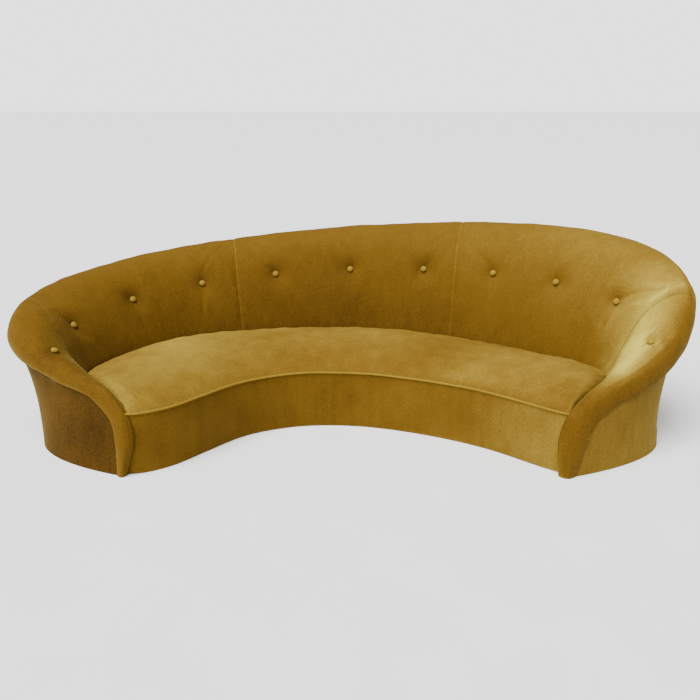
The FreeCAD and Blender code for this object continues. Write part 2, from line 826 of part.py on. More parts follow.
screw = turned("screw_pattern", [
    (0, 0),
    (size("screw_head_diameter") / 2, 0),
    (size("screw_diameter") / 2, size("screw_head_height")),
    (size("screw_diameter") / 2, size("screw_length")),
    (0, size("screw_length")),
])
doc.recompute()
rib_blanks = []
screw_spots = []
block_spots = []
for number, bearing in enumerate(RIB_BEARINGS, 1):
    key = wall.key_at(bearing)
    at = wall.anchors(key)
    outline = rib_outline(key)
    left = Vector(-at["out"].y, at["out"].x, 0)
    crease = Vector(at["crease"].x, at["crease"].y, 0)
    spot = crease + left * (size("rib_thickness") / 2)
    rib_blanks.append(board(
        f"back_rib_{number}_blank",
        [outline],
        "rib_thickness",
        plane="XZ_Plane",
        placement=Placement(spot, facing(at["out"])),
    ))
    foot = (outline[2][0] + outline[2][1]) / 2
    centre = crease + at["out"] * foot.x
    screw_spots.append(Placement(Vector(centre.x, centre.y, size(BASE_BOTTOM)), Rotation()))
    beside = centre + left * (size("rib_thickness") / 2) - at["out"] * (size("block_side") / 2)
    block_spots.append(Placement(Vector(beside.x, beside.y, size(BASE_TOP)), facing(at["out"])))
screws = keep(copies("base_screws", screw.Shape, screw_spots))
notches = doc.addObject("Part::Compound", "rib_notches")
notches.Links = top_rails + [screws]
for number, blank in enumerate(rib_blanks, 1):
    rib = doc.addObject("Part::Cut", f"back_rib_{number}")
    rib.Label = f"back_rib_{number}"
    rib.Base = blank
    rib.Tool = notches
    keep(rib)
base_ring = doc.addObject("Part::Cut", "base_ring")
base_ring.Label = "base_ring"
base_ring.Base = ring_blank
base_ring.Tool = screws
keep(base_ring)

block = doc.addObject("Part::Box", "glue_block_pattern")
for side in ("Length", "Width"):
    block.setExpression(side, "sizes.block_side")
block.setExpression("Height", "sizes.block_height")
doc.recompute()
keep(copies("glue_blocks", block.Shape, block_spots))

# Boards that stiffen the arm fronts
for label, number, side in (("left_arm_board", 1, -1), ("right_arm_board", -2, 1)):
    key = wall.keys[number]
    hem = wall.anchors(key)["hem"]
    corner = Vector(
        hem.x + side * size("arm_board_width") / 2 - size("arm_board_width") / 2,
        hem.y + size("arm_board_set_back"),
        size(BASE_TOP),
    )
    arm_board = doc.addObject("Part::Box", label)
    arm_board.Label = label
    arm_board.setExpression("Length", "sizes.arm_board_width")
    arm_board.setExpression("Width", "sizes.arm_board_thickness")
    arm_board.setExpression("Height", "sizes.arm_board_height")
    arm_board.Placement = Placement(corner, Rotation())
    keep(arm_board)

# Glides under the ring
glide_row = []
for bearing in GLIDE_BEARINGS:
    outer = wall.hem_point(bearing) - wall.outward(bearing) * size("glide_inset")
    glide_row.append(Placement(outer, Rotation()))
for step in range(FRONT_GLIDES):
    across = opening_reach * (2 * step / (FRONT_GLIDES - 1) - 1)
    glide_row.append(Placement(front.point(across, size("glide_inset")), Rotation()))
keep(copies("glides", glide.Shape, glide_row))


# Zigzag springs from rail to rail, held by clips
def zigzag(start, end):
    """Wire that swings from side to side along a line, as one round bar."""
    along = (end - start).normalize()
    side = Vector(-along.y, along.x, 0)
    run = (end - start).Length
    passes = int(run / size("spring_pitch"))
    pitch = run / passes
    half = (size("spring_width") - pitch) / 2
    edges = []
    swing = 1
    for turn in range(passes):
        here = start + along * (pitch * turn)
        there = start + along * (pitch * (turn + 1))
        reach = side * (half * swing)
        edges.append(Part.LineSegment(here - reach, here + reach).toShape())
        bend = (here + there) / 2 + side * (swing * (half + pitch / 2))
        edges.append(Part.Arc(here + reach, bend, there + reach).toShape())
        swing = -swing
    last = start + along * run
    edges.append(Part.LineSegment(last - side * (half * swing), last + side * (half * swing)).toShape())
    wire = Part.Wire(edges)
    first = start - side * half
    circle = Part.Wire(Part.makeCircle(size("spring_wire") / 2, first, side))
    return wire.makePipeShell([circle], True, False, 0)


spring_level = size("spring_deck_height") + size("spring_wire") / 2 + size("ease") / 2
springs = []
clip_spots = []
clip_rise = size("spring_wire") + size("ease")
for bearing in SPRING_BEARINGS:
    start, end = radial_line(bearing)
    along = (end - start).normalize()
    first = start + along * (front_inset + size("rail_thickness") / 2)
    last = end + along * (wall.frame_depth(wall.key_at(bearing)) - size("rail_thickness") / 2)
    lift = Vector(0, 0, spring_level)
    springs.append(zigzag(first + lift, last + lift))
    for spot, turn in ((first, 1), (last, -1)):
        clip_spots.append(placed_at(spot, along * turn, -CLIP_BEHIND, size("spring_deck_height")))
keep(feature("zigzag_springs", Part.makeCompound(springs)))
clip_thickness = size("clip_thickness")
clip_corners = [
    Vector(0, 0, 0),
    Vector(clip_thickness, 0, 0),
    Vector(clip_thickness, clip_rise, 0),
    Vector(size("clip_length"), clip_rise, 0),
    Vector(size("clip_length"), clip_rise + clip_thickness, 0),
    Vector(0, clip_rise + clip_thickness, 0),
]
clip_outline = list(zip(clip_corners, clip_corners[1:] + clip_corners[:1]))
clip = board("clip_pattern", [clip_outline], "clip_width", plane="XZ_Plane")
doc.recompute()
clip_shape = clip.Shape.copy()
clip_shape.translate(Vector(0, size("clip_width") / 2, 0))
centred_clip = Part.makeCompound(clip_shape.Solids)
keep(copies("spring_clips", centred_clip, clip_spots))
keep(board(
    "deck_cloth",
    [[
        front.row(-rail_reach, rail_reach, front_inset),
        crease_row(-size("ease"), BACK_RAIL_BEARING)[::-1],
    ]],
    "deck_cloth_thickness",
    level=CLOTH_BOTTOM,
))


# Seat padding and its cover
def seat_top(bearing, front_depth, drop):
    """Points over the seat from the front edge to the crease."""
    key = wall.key_at(bearing)
    at = wall.anchors(key)
    start = front.point(front.across_at(bearing), front_depth)
    end = at["crease"] - at["out"] * size("ease")
    start.z = size("piping_height - seat_edge_drop")
    span = Vector(end.x - start.x, end.y - start.y, 0).Length
    crown = size("seat_crown") * share_of(span, FULL_SEAT_DEPTH)
    points = []
    for step in range(SEAT_POINTS):
        part = step / (SEAT_POINTS - 1)
        lift = crown * (1 - (1 - 2 * part) ** 4)
        points.append(start + (end - start) * part + Vector(0, 0, lift - drop))
    return points


def seat_bearings():
    """Section places over the seat."""
    count = 2 * SEAT_SECTIONS
    return [SEAT_END_BEARING * (2 * number / count - 1) for number in range(count + 1)]


def seat_pad_wire(bearing):
    """Closed section of the seat padding."""
    top = seat_top(bearing, size(APRON_PAD_FACE + " + ease"), size("cover_thickness + ease + ease"))
    floor_level = size(SEAT_BOTTOM)
    front_foot = Vector(top[0].x, top[0].y, floor_level)
    back_foot = Vector(top[-1].x, top[-1].y, floor_level)
    return ring([top, [top[-1], back_foot], [back_foot, front_foot], [front_foot, top[0]]])


seat_pad = Part.makeLoft([seat_pad_wire(bearing) for bearing in seat_bearings()], True, False)
keep(feature("seat_pad", seat_pad))
cover = size("cover_thickness")
seat_cover = [(seat_top(bearing, 0, 0), seat_top(bearing, 0, cover)) for bearing in seat_bearings()]
keep(feature("seat_cover", strip_loft(seat_cover)))

# Front: padding, lining, cover and the piping along its top edge
apron_reach = (front.across[0] + TIP_CUT, front.across[-1] - TIP_CUT)


def apron_board(label, face, thickness, level, height):
    """Upright sheet that follows the hollow front."""
    inner = face + size(thickness)
    sheet = board(
        label,
        [[front.row(*apron_reach, face), front.row(*apron_reach, inner)[::-1]]],
        height,
        level=level,
    )
    return keep(sheet)


APRON_HEIGHT = "piping_height - seat_edge_drop - cover_thickness - ease - hem_clearance"
APRON_PAD_HEIGHT = "spring_deck_height - glide_height - dust_cover_thickness - ease - ease - ease"
apron_board("apron_cover", 0.0, "cover_thickness", "hem_clearance", APRON_HEIGHT)
apron_board("apron_pad", size(APRON_PAD_FACE), "apron_padding", BASE_BOTTOM, APRON_PAD_HEIGHT)
apron_board("apron_lining", size(APRON_LINING_FACE), "hessian_thickness", BASE_BOTTOM, APRON_PAD_HEIGHT)

piping_wires = []
piping_radius = size("piping_diameter") / 2
piping_count = 31
piping_points = front.row(*apron_reach, -piping_radius - size("ease") / 2, piping_count)
for number, point in enumerate(piping_points):
    before = piping_points[max(number - 1, 0)]
    after = piping_points[min(number + 1, piping_count - 1)]
    centre = point + Vector(0, 0, size("piping_height"))
    piping_wires.append(Part.Wire(Part.makeCircle(piping_radius, centre, after - before)))
keep(feature("seat_piping", Part.makeLoft(piping_wires, True, False)))


# Inside back: pads, covers and buttons, hessian and straps behind them
def button_frame(bearing, part):
    """Where a button sits, the way into the wall, and the padding depth there."""
    key = wall.key_at(bearing)
    point, inwards = wall.face_point(key, part)
    return point, inwards, wall.padding_at(key)[0]


button_holes = []
ties = []
toggle_spots = []
button_spots = []
for bearing, part in BUTTONS:
    point, inwards, padding = button_frame(bearing, part)
    depth = size("cover_thickness + ease + hessian_thickness + ease + button_lift") + padding
    start = point - inwards * size("button_lift")
    ties.append(Part.makeCylinder(size("tie_diameter") / 2, depth, start, inwards))
    mouth = point - inwards * HOLE_RUN_OUT
    button_holes.append(Part.makeCylinder(size("tie_hole") / 2, depth + HOLE_RUN_OUT, mouth, inwards))
    button_spots.append(Placement(start, Rotation(Vector(0, 0, 1), inwards * -1)))
    toggle_spots.append(Placement(start + inwards * depth, Rotation(Vector(0, 0, 1), inwards)))
holes = Part.makeCompound(button_holes)

seam_bearings = [-size("arm_seam"), -size("panel_seam"), size("panel_seam"), size("arm_seam")]
seams = [wall.keys[0]] + [wall.key_at(bearing) for bearing in seam_bearings] + [wall.keys[-1]]
half_gap = size("ease") / 2 / KEY_LENGTH
skin = size("cover_thickness")
pad_face = size("cover_thickness + ease")
starts = [seams[0]] + [seam + half_gap for seam in seams[1:-1]]
ends = [seam - half_gap for seam in seams[1:-1]] + [seams[-1]]
for name, first, last in zip(PANELS, starts, ends):
    keys = wall.keys_between(first, last)
    pad = strip_loft([(wall.inside_layer(key, pad_face), wall.inside_layer(key, 0, True)) for key in keys])
    keep(feature(f"{name}_pad", pad.cut(holes)))
    cover_rows = [(wall.inside_layer(key, 0), wall.inside_layer(key, skin)) for key in keys]
    keep(feature(f"{name}_inside_cover", strip_loft(cover_rows).cut(holes)))

hessian_keys = wall.keys_between(wall.key_at(-HESSIAN_LIMIT), wall.key_at(HESSIAN_LIMIT))
hessian_face = size(HESSIAN_FACE)
hessian_back = size(HESSIAN_FACE + " + hessian_thickness")
hessian_rows = [
    (wall.inside_layer(key, hessian_face, True), wall.inside_layer(key, hessian_back, True))
    for key in hessian_keys
]
keep(feature("back_hessian", strip_loft(hessian_rows).cut(holes)))


def strap_section(key, rise):
    """Flat section of a strap behind the padding."""
    lower, inwards = wall.face_point(key, rise)
    upper_part = rise + STRAP_STEP
    upper, _ = wall.face_point(key, upper_part)
    upper = lower + (upper - lower).normalize() * size("strap_width")
    depth = wall.padding_at(key)[0] + size("cover_thickness + ease") + size(STRAP_FACE)
    face = [lower + inwards * depth, upper + inwards * depth]
    return face, [point + inwards * size("strap_thickness") for point in face]


strap_keys = wall.keys_between(wall.key_at(-STRAP_LIMIT), wall.key_at(STRAP_LIMIT))
straps = [strip_loft([strap_section(key, rise) for key in strap_keys]) for rise in STRAP_RISES]
keep(feature("back_straps", Part.makeCompound(straps)))

button_radius = size("button_diameter") / 2
button_height = size("button_height")
dome = [(0, 0), (button_radius * 0.9, 0), (button_radius, button_height * 0.25)]
for step in range(1, DOME_STEPS + 1):
    turn = math.pi / 2 * step / DOME_STEPS
    dome.append((button_radius * math.cos(turn), button_height * (0.25 + 0.75 * math.sin(turn))))
dome[-1] = (0, button_height)
button = turned("button_pattern", dome)
toggle_radius = size("toggle_diameter") / 2
toggle = turned("toggle_pattern", [
    (0, 0),
    (toggle_radius, 0),
    (toggle_radius, size("toggle_thickness")),
    (0, size("toggle_thickness")),
])
doc.recompute()
keep(copies("buttons", button.Shape, button_spots))
keep(feature("button_ties", Part.makeCompound(ties)))
keep(copies("button_toggles", toggle.Shape, toggle_spots))


# Outside panels and the felt under them
def outside_rows(keys, face, back):
    """Sections of an outside layer, a little below the roll."""
    down = Vector(0, 0, -size("ease"))
    rows = []
    for key in keys:
        outer = [point + down for point in wall.outside_layer(key, face)]
        inner = [point + down for point in wall.outside_layer(key, back)]
        rows.append((outer, inner))
    return rows


left_shin = wall.keys[1]
right_shin = wall.keys[-2]
outside_seams = [left_shin, seams[1], seams[4], right_shin]
for name, first, last in zip(("left_arm", "back", "right_arm"), outside_seams, outside_seams[1:]):
    keys = wall.keys_between(first + half_gap, last - half_gap)
    keep(feature(f"{name}_outside_cover", strip_loft(outside_rows(keys, 0.0, skin))))
lining_face = size(LINING_FACE)
lining_back = size(LINING_FACE + " + lining_thickness")
lining_keys = wall.keys_between(wall.key_at(-LINING_LIMIT), wall.key_at(LINING_LIMIT))
keep(feature("outside_lining", strip_loft(outside_rows(lining_keys, lining_face, lining_back))))

doc.recompute()


def check_document():
    """Stop if an object failed or a sub-part is empty or broken."""
    faults = []
    for item in doc.Objects:
        if "Invalid" in item.State or "Error" in item.State:
            faults.append(f"{item.Name} failed: {item.State}")
    for item in parts:
        if item.Shape.isNull() or not item.Shape.isValid():
            faults.append(f"{item.Label} has no valid shape")
        elif not item.Shape.Solids or any(solid.Volume <= 0 for solid in item.Shape.Solids):
            faults.append(f"{item.Label} has no solid")
    if faults:
        raise RuntimeError("; ".join(faults))


check_document()
os.makedirs("parts", exist_ok=True)
for item in parts:
    item.Shape.exportStep(f"parts/{item.Label}.step")
    print(f"{item.Label}: {len(item.Shape.Solids)} solids, {item.Shape.Volume / 1e6:.3f} litres")
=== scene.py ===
"""Curved three-metre sofa in mustard velvet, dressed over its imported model.

Metres, +Z up, the hollow front facing -Y, the origin on the floor at the middle of the footprint.
The wall of the sofa is drawn like a boat's hull: stations run from the left toe round the back to
the right toe, and hold where the crease, rim, seam and hem lie outwards from the base outline.
"""

import logging
import math
from dataclasses import dataclass, field
from enum import Enum

import bpy
import numpy as np
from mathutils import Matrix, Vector


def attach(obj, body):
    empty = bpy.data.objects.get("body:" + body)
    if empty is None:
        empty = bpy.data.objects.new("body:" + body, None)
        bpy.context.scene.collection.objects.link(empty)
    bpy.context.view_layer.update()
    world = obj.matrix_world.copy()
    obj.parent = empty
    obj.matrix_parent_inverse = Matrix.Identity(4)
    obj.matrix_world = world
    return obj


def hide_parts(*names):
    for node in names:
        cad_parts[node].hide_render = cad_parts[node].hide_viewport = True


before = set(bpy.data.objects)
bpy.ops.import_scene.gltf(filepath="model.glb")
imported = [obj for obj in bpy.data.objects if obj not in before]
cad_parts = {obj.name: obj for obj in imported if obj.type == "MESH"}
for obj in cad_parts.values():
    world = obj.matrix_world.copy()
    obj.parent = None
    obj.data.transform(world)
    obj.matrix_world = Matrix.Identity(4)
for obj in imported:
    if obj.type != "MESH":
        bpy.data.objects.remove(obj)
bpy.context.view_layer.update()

log = logging.getLogger("sofa")

MM = 0.001

# Stations: bearing in degrees, then in millimetres the crease's place and height, the rim's and the seam's
STATIONS = (
    (-136.3, -40, 0, -20, 0, 0, 0),
    (-136.3, -82, 170, -44, 165, -8, 155),
    (-135, -84, 275, -52, 292, -20, 250),
    (-129, -140, 300, -80, 368, -40, 322),
    (-117.5, -201, 306, -76, 420, -38, 352),
    (-103, -222, 310, -8, 505, 6, 385),
    (-86, -204, 310, 84, 604, 104, 440),
    (-72, -200, 310, 138, 645, 165, 480),
    (-54, -176, 310, 155, 698, 200, 535),
    (-34, -140, 310, 142, 754, 190, 590),
    (0, -176, 310, 74, 840, 144, 660),
    (36, -290, 310, 55, 888, 130, 700),
    (58, -335, 310, 45, 884, 120, 680),
    (76, -285, 310, 76, 834, 120, 600),
    (90, -245, 310, 74, 722, 62, 475),
    (104, -240, 310, 16, 550, 8, 385),
    (117.5, -209, 306, -40, 430, -12, 325),
    (128, -160, 300, -64, 368, -12, 285),
    (136, -90, 270, -24, 285, 30, 230),
    (138.3, -82, 165, -24, 165, 40, 145),
    (138.3, -68, 0, -30, 0, 2, 0),
)
COLUMNS = ("bearing", "crease_out", "crease_height", "rim_out", "rim_height", "seam_out", "seam_height")

# The hollow front in plan, millimetres: across, and back from its foremost line
FRONT = (
    (-974, -514),
    (-889, -510),
    (-749, -425),
    (-629, -283),
    (-519, -155),
    (-289, -25),
    (-49, 2),
    (311, -88),
    (631, -265),
    (896, -495),
    (955, -535),
)

# Covered buttons: bearing, and how far up the inside face
BUTTONS = (
    (-106, 0.80),
    (-77.5, 0.43),
    (-53.5, 0.43),
    (-34.4, 0.43),
    (-17, 0.43),
    (0, 0.43),
    (17, 0.43),
    (34.4, 0.43),
    (53.5, 0.43),
    (77.5, 0.43),
    (106, 0.80),
)


def smooth_values(keys: np.ndarray, values: np.ndarray, at: np.ndarray) -> np.ndarray:
    """Cubic curve through values at keys.

    Args:
        keys: Rising places of the values.
        values: One value for each key.
        at: Places to read.

    Returns:
        The curve's values at those places.
    """
    at = np.clip(np.asarray(at, float), keys[0], keys[-1])
    index = np.clip(np.searchsorted(keys, at, side="left") - 1, 0, len(keys) - 2)
    gaps = np.diff(keys)
    slopes = np.diff(values) / gaps
    inner = (slopes[:-1] * gaps[1:] + slopes[1:] * gaps[:-1]) / (gaps[:-1] + gaps[1:])
    knots = np.concatenate([slopes[:1], inner, slopes[-1:]])
    gap = gaps[index]
    part = (at - keys[index]) / gap
    rest = 1 - part
    return (
        values[index] * (1 + 2 * part) * rest**2
        + knots[index] * gap * part * rest**2
        + values[index + 1] * part**2 * (3 - 2 * part)
        - knots[index + 1] * gap * part**2 * rest
    )


def share(values: np.ndarray, full: float) -> np.ndarray:
    """How much of the full value is reached, from 0 to 1."""
    return np.clip(values / full, 0.0, 1.0)


def unit(vectors: np.ndarray) -> np.ndarray:
    """Vectors brought to length 1."""
    return vectors / np.maximum(np.linalg.norm(vectors, axis=-1, keepdims=True), 1e-12)


def cubic_grid(corners: list[np.ndarray], parts: np.ndarray) -> np.ndarray:
    """Points on one cubic curve for each row of control points.

    Args:
        corners: Four arrays of control points, one row for each curve.
        parts: Places on the curves, from 0 to 1.

    Returns:
        Array of rows by parts by 3.
    """
    part = np.asarray(parts, float)[None, :, None]
    rest = 1 - part
    first, second, third, fourth = (corner[:, None, :] for corner in corners)
    return first * rest**3 + 3 * second * rest**2 * part + 3 * third * rest * part**2 + fourth * part**3


def normals_of(grid: np.ndarray) -> np.ndarray:
    """Unit normals of a grid of points, along rows crossed with along columns."""
    along = np.gradient(grid, axis=0)
    up = np.gradient(grid, axis=1)
    return unit(np.cross(along, up))


@dataclass
class WallLines:
    """Guide lines and sections of the wall, from the left toe round the back to the right toe."""

    half_width: float = 1.425
    back_reach: float = 0.900
    front_reach: float = 0.556
    centre: tuple[float, float] = (0.011, -0.320)
    arm_turn: float = 16.0
    roll_turn_height: float = 0.475
    rim_nose: float = 0.024
    roll_fullness: float = 0.070
    toe_fullness: float = 0.010
    full_roll_height: float = 0.600
    cove_depth: float = 0.060
    cove_start: float = 0.300
    cove_full: float = 0.550
    hem_clearance: float = 0.003
    pad_thickness: float = 0.060
    pad_share: float = 0.18
    rim_padding: float = 0.026
    seam_padding: float = 0.004
    keys: np.ndarray = field(init=False)
    table: dict[str, np.ndarray] = field(init=False)

    def __post_init__(self) -> None:
        """Read the stations and space them along the rim."""
        rows = np.array(STATIONS, float)
        units = [1.0] + [MM] * (len(COLUMNS) - 1)
        self.table = {name: rows[:, place] * units[place] for place, name in enumerate(COLUMNS)}
        bearings = self.table["bearing"]
        rims = self.hem(bearings) + self.outward(bearings) * self.table["rim_out"][:, None]
        rims[:, 2] += self.table["rim_height"]
        steps = (np.linalg.norm(np.diff(rims, axis=0), axis=1) / MM) ** 0.6
        self.keys = np.concatenate([[0.0], np.cumsum(steps)])

    def read(self, keys: np.ndarray, column: str) -> np.ndarray:
        """One column of the table between the stations."""
        return smooth_values(self.keys, self.table[column], keys)

    def key_at(self, bearing: float) -> float:
        """Place along the stations where the section has this bearing."""
        low, high = self.keys[0], self.keys[-1]
        for _ in range(40):
            middle = (low + high) / 2
            if self.read(np.array([middle]), "bearing")[0] < bearing:
                low = middle
            else:
                high = middle
        return (low + high) / 2

    def hem(self, bearings: np.ndarray) -> np.ndarray:
        """Points of the base outline."""
        turn = np.radians(bearings)
        reach = np.where(np.abs(bearings) < 90, self.back_reach, self.front_reach)
        across = self.centre[0] + self.half_width * np.sin(turn)
        return np.stack([across, self.centre[1] + reach * np.cos(turn), np.zeros_like(turn)], -1)

    def outward(self, bearings: np.ndarray) -> np.ndarray:
        """Level unit vectors out of the wall."""
        turn = np.radians(bearings)
        past = np.clip((np.abs(bearings) - 90) / 46.5, 0, 1)
        swing = np.radians(90 + self.arm_turn * np.sin(np.pi * past))
        on_back = np.abs(bearings) <= 90
        across = np.where(on_back, self.back_reach * np.sin(turn), np.copysign(np.sin(swing), bearings))
        back = np.where(on_back, self.half_width * np.cos(turn), np.cos(swing))
        return unit(np.stack([across, back, np.zeros_like(turn)], -1))

    def anchors(self, keys: np.ndarray) -> dict[str, np.ndarray]:
        """Guide points and directions of sections.

        Args:
            keys: Places along the stations.

        Returns:
            Arrays of crease, rim, seam and hem points, of directions, and of the roll's and cove's sizes.
        """
        keys = np.atleast_1d(keys)
        bearing = self.read(keys, "bearing")
        out = self.outward(bearing)
        side = np.copysign(1.0, bearing)
        forward = np.stack([side * out[:, 1], -side * out[:, 0], np.zeros_like(side)], -1)
        rim_height = self.read(keys, "rim_height")
        seam_height = self.read(keys, "seam_height")
        facing = 1 - share(rim_height, self.roll_turn_height) ** 2
        hem = self.hem(bearing)

        def place(outwards: np.ndarray, height: np.ndarray, forwards: np.ndarray) -> np.ndarray:
            """Point of the section outwards from the hem, forwards and up."""
            point = hem + out * outwards[:, None] + forward * forwards[:, None]
            point[:, 2] = np.maximum(height, self.hem_clearance)
            return point

        level = np.zeros_like(rim_height)
        fullness = share(rim_height, self.full_roll_height) ** 1.5
        bulge = self.toe_fullness + (self.roll_fullness - self.toe_fullness) * fullness
        cove = self.cove_depth * share(seam_height - self.cove_start, self.cove_full - self.cove_start)
        return {
            "crease": place(self.read(keys, "crease_out"), self.read(keys, "crease_height"), level),
            "rim": place(self.read(keys, "rim_out"), rim_height, self.rim_nose * facing**1.2),
            "seam": place(self.read(keys, "seam_out"), seam_height, level),
            "hem": place(level, level, level),
            "out": out,
            "bulge": bulge[:, None],
            "cove": cove[:, None],
        }

    def face(self, keys: np.ndarray, parts: np.ndarray) -> np.ndarray:
        """Points of the inside face from the crease up to the rim."""
        at = self.anchors(keys)
        crease, rim, out = at["crease"], at["rim"], at["out"]
        rise = rim - crease
        outwards = out * np.sum(rise * out, axis=1, keepdims=True)
        upper = crease + (rise - outwards) * 0.5 + outwards * 0.22
        return cubic_grid([crease, upper, rim - outwards * 0.55, rim], parts)

    def roll(self, keys: np.ndarray, parts: np.ndarray) -> np.ndarray:
        """Points of the roll from the rim down to the seam under it."""
        at = self.anchors(keys)
        rim, seam, out, bulge = at["rim"], at["seam"], at["out"], at["bulge"]
        return cubic_grid([rim, rim + out * bulge, seam + out * (1.15 * bulge), seam], parts)

    def panel(self, keys: np.ndarray, parts: np.ndarray) -> np.ndarray:
        """Points of the outside panel from the seam down to the hem."""
        at = self.anchors(keys)
        seam, hem, out, cove = at["seam"], at["hem"], at["out"], at["cove"]
        down = hem - seam
        upper = seam + down * 0.18 - out * cove
        lower = seam + down * 0.6 - out * (0.85 * cove)
        return cubic_grid([seam, upper, lower, hem], parts)

    def spread(self, first: float, last: float, spacing: float) -> np.ndarray:
        """Places from one key to another, evenly spaced along the rim.

        Args:
            first: Key of the first place.
            last: Key of the last place.
            spacing: Distance between places on the rim.

        Returns:
            Rising keys.
        """
        keys = np.linspace(first, last, 600)
        at = self.anchors(keys)
        middle = (at["rim"] + at["crease"]) / 2
        run = np.concatenate([[0.0], np.cumsum(np.linalg.norm(np.diff(middle, axis=0), axis=1))])
        run += np.linspace(0.0, 0.02, len(run))
        count = max(8, math.ceil(run[-1] / spacing)) + 1
        return np.interp(np.linspace(0.0, run[-1], count), run, keys)

    def padding(self, keys: np.ndarray, face_parts: np.ndarray, roll_parts: np.ndarray) -> np.ndarray:
        """Depth of the padding over a grid of inside points."""
        at = self.anchors(keys)
        chord = np.linalg.norm(at["seam"] - at["crease"], axis=1)
        full = np.minimum(self.pad_thickness, self.pad_share * chord)[:, None]
        over_rim = np.minimum(self.rim_padding, 0.5 * full)
        at_seam = np.minimum(self.seam_padding, 0.5 * over_rim)
        face = full + (over_rim - full) * face_parts[None, :] ** 2
        roll = over_rim + (at_seam - over_rim) * roll_parts[None, :]
        return np.concatenate([face, roll], axis=1)


@dataclass
class FrontLine:
    """The hollow front in plan."""

    foremost: float = -0.196
    seat_end: float = 130.0
    across: np.ndarray = field(init=False)
    back: np.ndarray = field(init=False)

    def __post_init__(self) -> None:
        """Read the front line."""
        rows = np.array(FRONT, float) * MM
        self.across, self.back = rows[:, 0], rows[:, 1] + self.foremost

    def points(self, across: np.ndarray, inset: float = 0.0) -> np.ndarray:
        """Points of the front line, moved back square to it."""
        step = 0.001
        here = smooth_values(self.across, self.back, across)
        ahead = smooth_values(self.across, self.back, across + step)
        behind = smooth_values(self.across, self.back, across - step)
        along = unit(np.stack([np.full_like(here, 2 * step), ahead - behind], -1))
        square = np.stack([-along[:, 1], along[:, 0], np.zeros_like(here)], -1)
        return np.stack([across, here, np.zeros_like(here)], -1) + square * inset

    def across_at(self, bearings: np.ndarray) -> np.ndarray:
        """Where the seat's radial lines meet the front."""
        part = np.sin(np.pi / 2 * share(np.abs(bearings), self.seat_end))
        return part * np.where(bearings < 0, self.across[1], self.across[-2])


@dataclass(frozen=True)
class Unevenness:
    """Smooth random waves through space, the same each run."""

    seed: int
    length: float
    count: int = 16

    def at(self, points: np.ndarray) -> np.ndarray:
        """Height of the waves, about 1 high, at an array of points."""
        draw = np.random.default_rng(self.seed)
        directions = unit(draw.normal(size=(self.count, 3)))
        rates = 2 * np.pi / (self.length * draw.uniform(0.6, 1.8, self.count))
        phases = draw.uniform(0, 2 * np.pi, self.count)
        waves = np.cos(points @ (directions * rates[:, None]).T + phases)
        return waves.sum(axis=-1) / math.sqrt(self.count / 2)


def shell(
    name: str,
    outer: np.ndarray,
    inner: np.ndarray,
    fold_and_painted_light: np.ndarray | None = None,
    pile_and_painted_light: np.ndarray | None = None,
) -> bpy.types.Object:
    """Closed piece between an outer and an inner grid of points.

    Args:
        name: Name of the piece.
        outer: Rows by columns by 3, its normals pointing out of the piece.
        inner: A grid of the same size behind it.
        fold_and_painted_light: Folds over the grid as painted shade and crests as painted highlight, from 1
            to -1, kept as an attribute for the finish.
        pile_and_painted_light: Painted light and shade over the grid with random pile tone, from light at 1
            to dark at -1, kept in the same way.

    Returns:
        The new object, at the origin.
    """
    rows, columns = outer.shape[:2]
    count = rows * columns
    points = np.concatenate([outer.reshape(-1, 3), inner.reshape(-1, 3)])
    number = np.arange(count).reshape(rows, columns)
    corners = [number[:-1, :-1], number[1:, :-1], number[1:, 1:], number[:-1, 1:]]
    quads = np.stack(corners, -1).reshape(-1, 4)
    border = np.concatenate([number[:, 0][::-1], number[0, 1:], number[1:, -1], number[-1, 1:-1][::-1]])
    following = np.roll(border, -1)
    walls = np.stack([border, following, following + count, border + count], -1)
    faces = np.concatenate([quads, quads[:, ::-1] + count, walls[:, ::-1]])
    mesh = bpy.data.meshes.new(name)
    mesh.from_pydata(points.tolist(), [], faces.tolist())
    mesh.polygons.foreach_set("use_smooth", np.ones(len(faces), bool))
    for label, values in (("fold_and_painted_light", fold_and_painted_light), ("pile_and_painted_light", pile_and_painted_light)):
        if values is not None:
            layer = mesh.attributes.new(label, "FLOAT", "POINT")
            both_sides = np.concatenate([values.ravel(), values.ravel()])
            layer.data.foreach_set("value", both_sides.astype(np.float32))
    mesh.update()
    piece = bpy.data.objects.new(name, mesh)
    bpy.context.scene.collection.objects.link(piece)
    return piece


def halved(grid: np.ndarray) -> np.ndarray:
    """Every second row and column of a grid, its borders kept."""
    rows = np.unique(np.append(np.arange(0, grid.shape[0], 2), grid.shape[0] - 1))
    columns = np.unique(np.append(np.arange(0, grid.shape[1], 2), grid.shape[1] - 1))
    return grid[rows][:, columns]


def spread_out(values: np.ndarray, rows: int, columns: int) -> np.ndarray:
    """Values of a halved grid carried back to the full one."""
    for axis, count in ((0, rows), (1, columns)):
        kept = np.unique(np.append(np.arange(0, count, 2), count - 1)).astype(float)
        full = np.arange(count)
        values = np.apply_along_axis(lambda line: smooth_values(kept, line, full), axis, values)
    return values


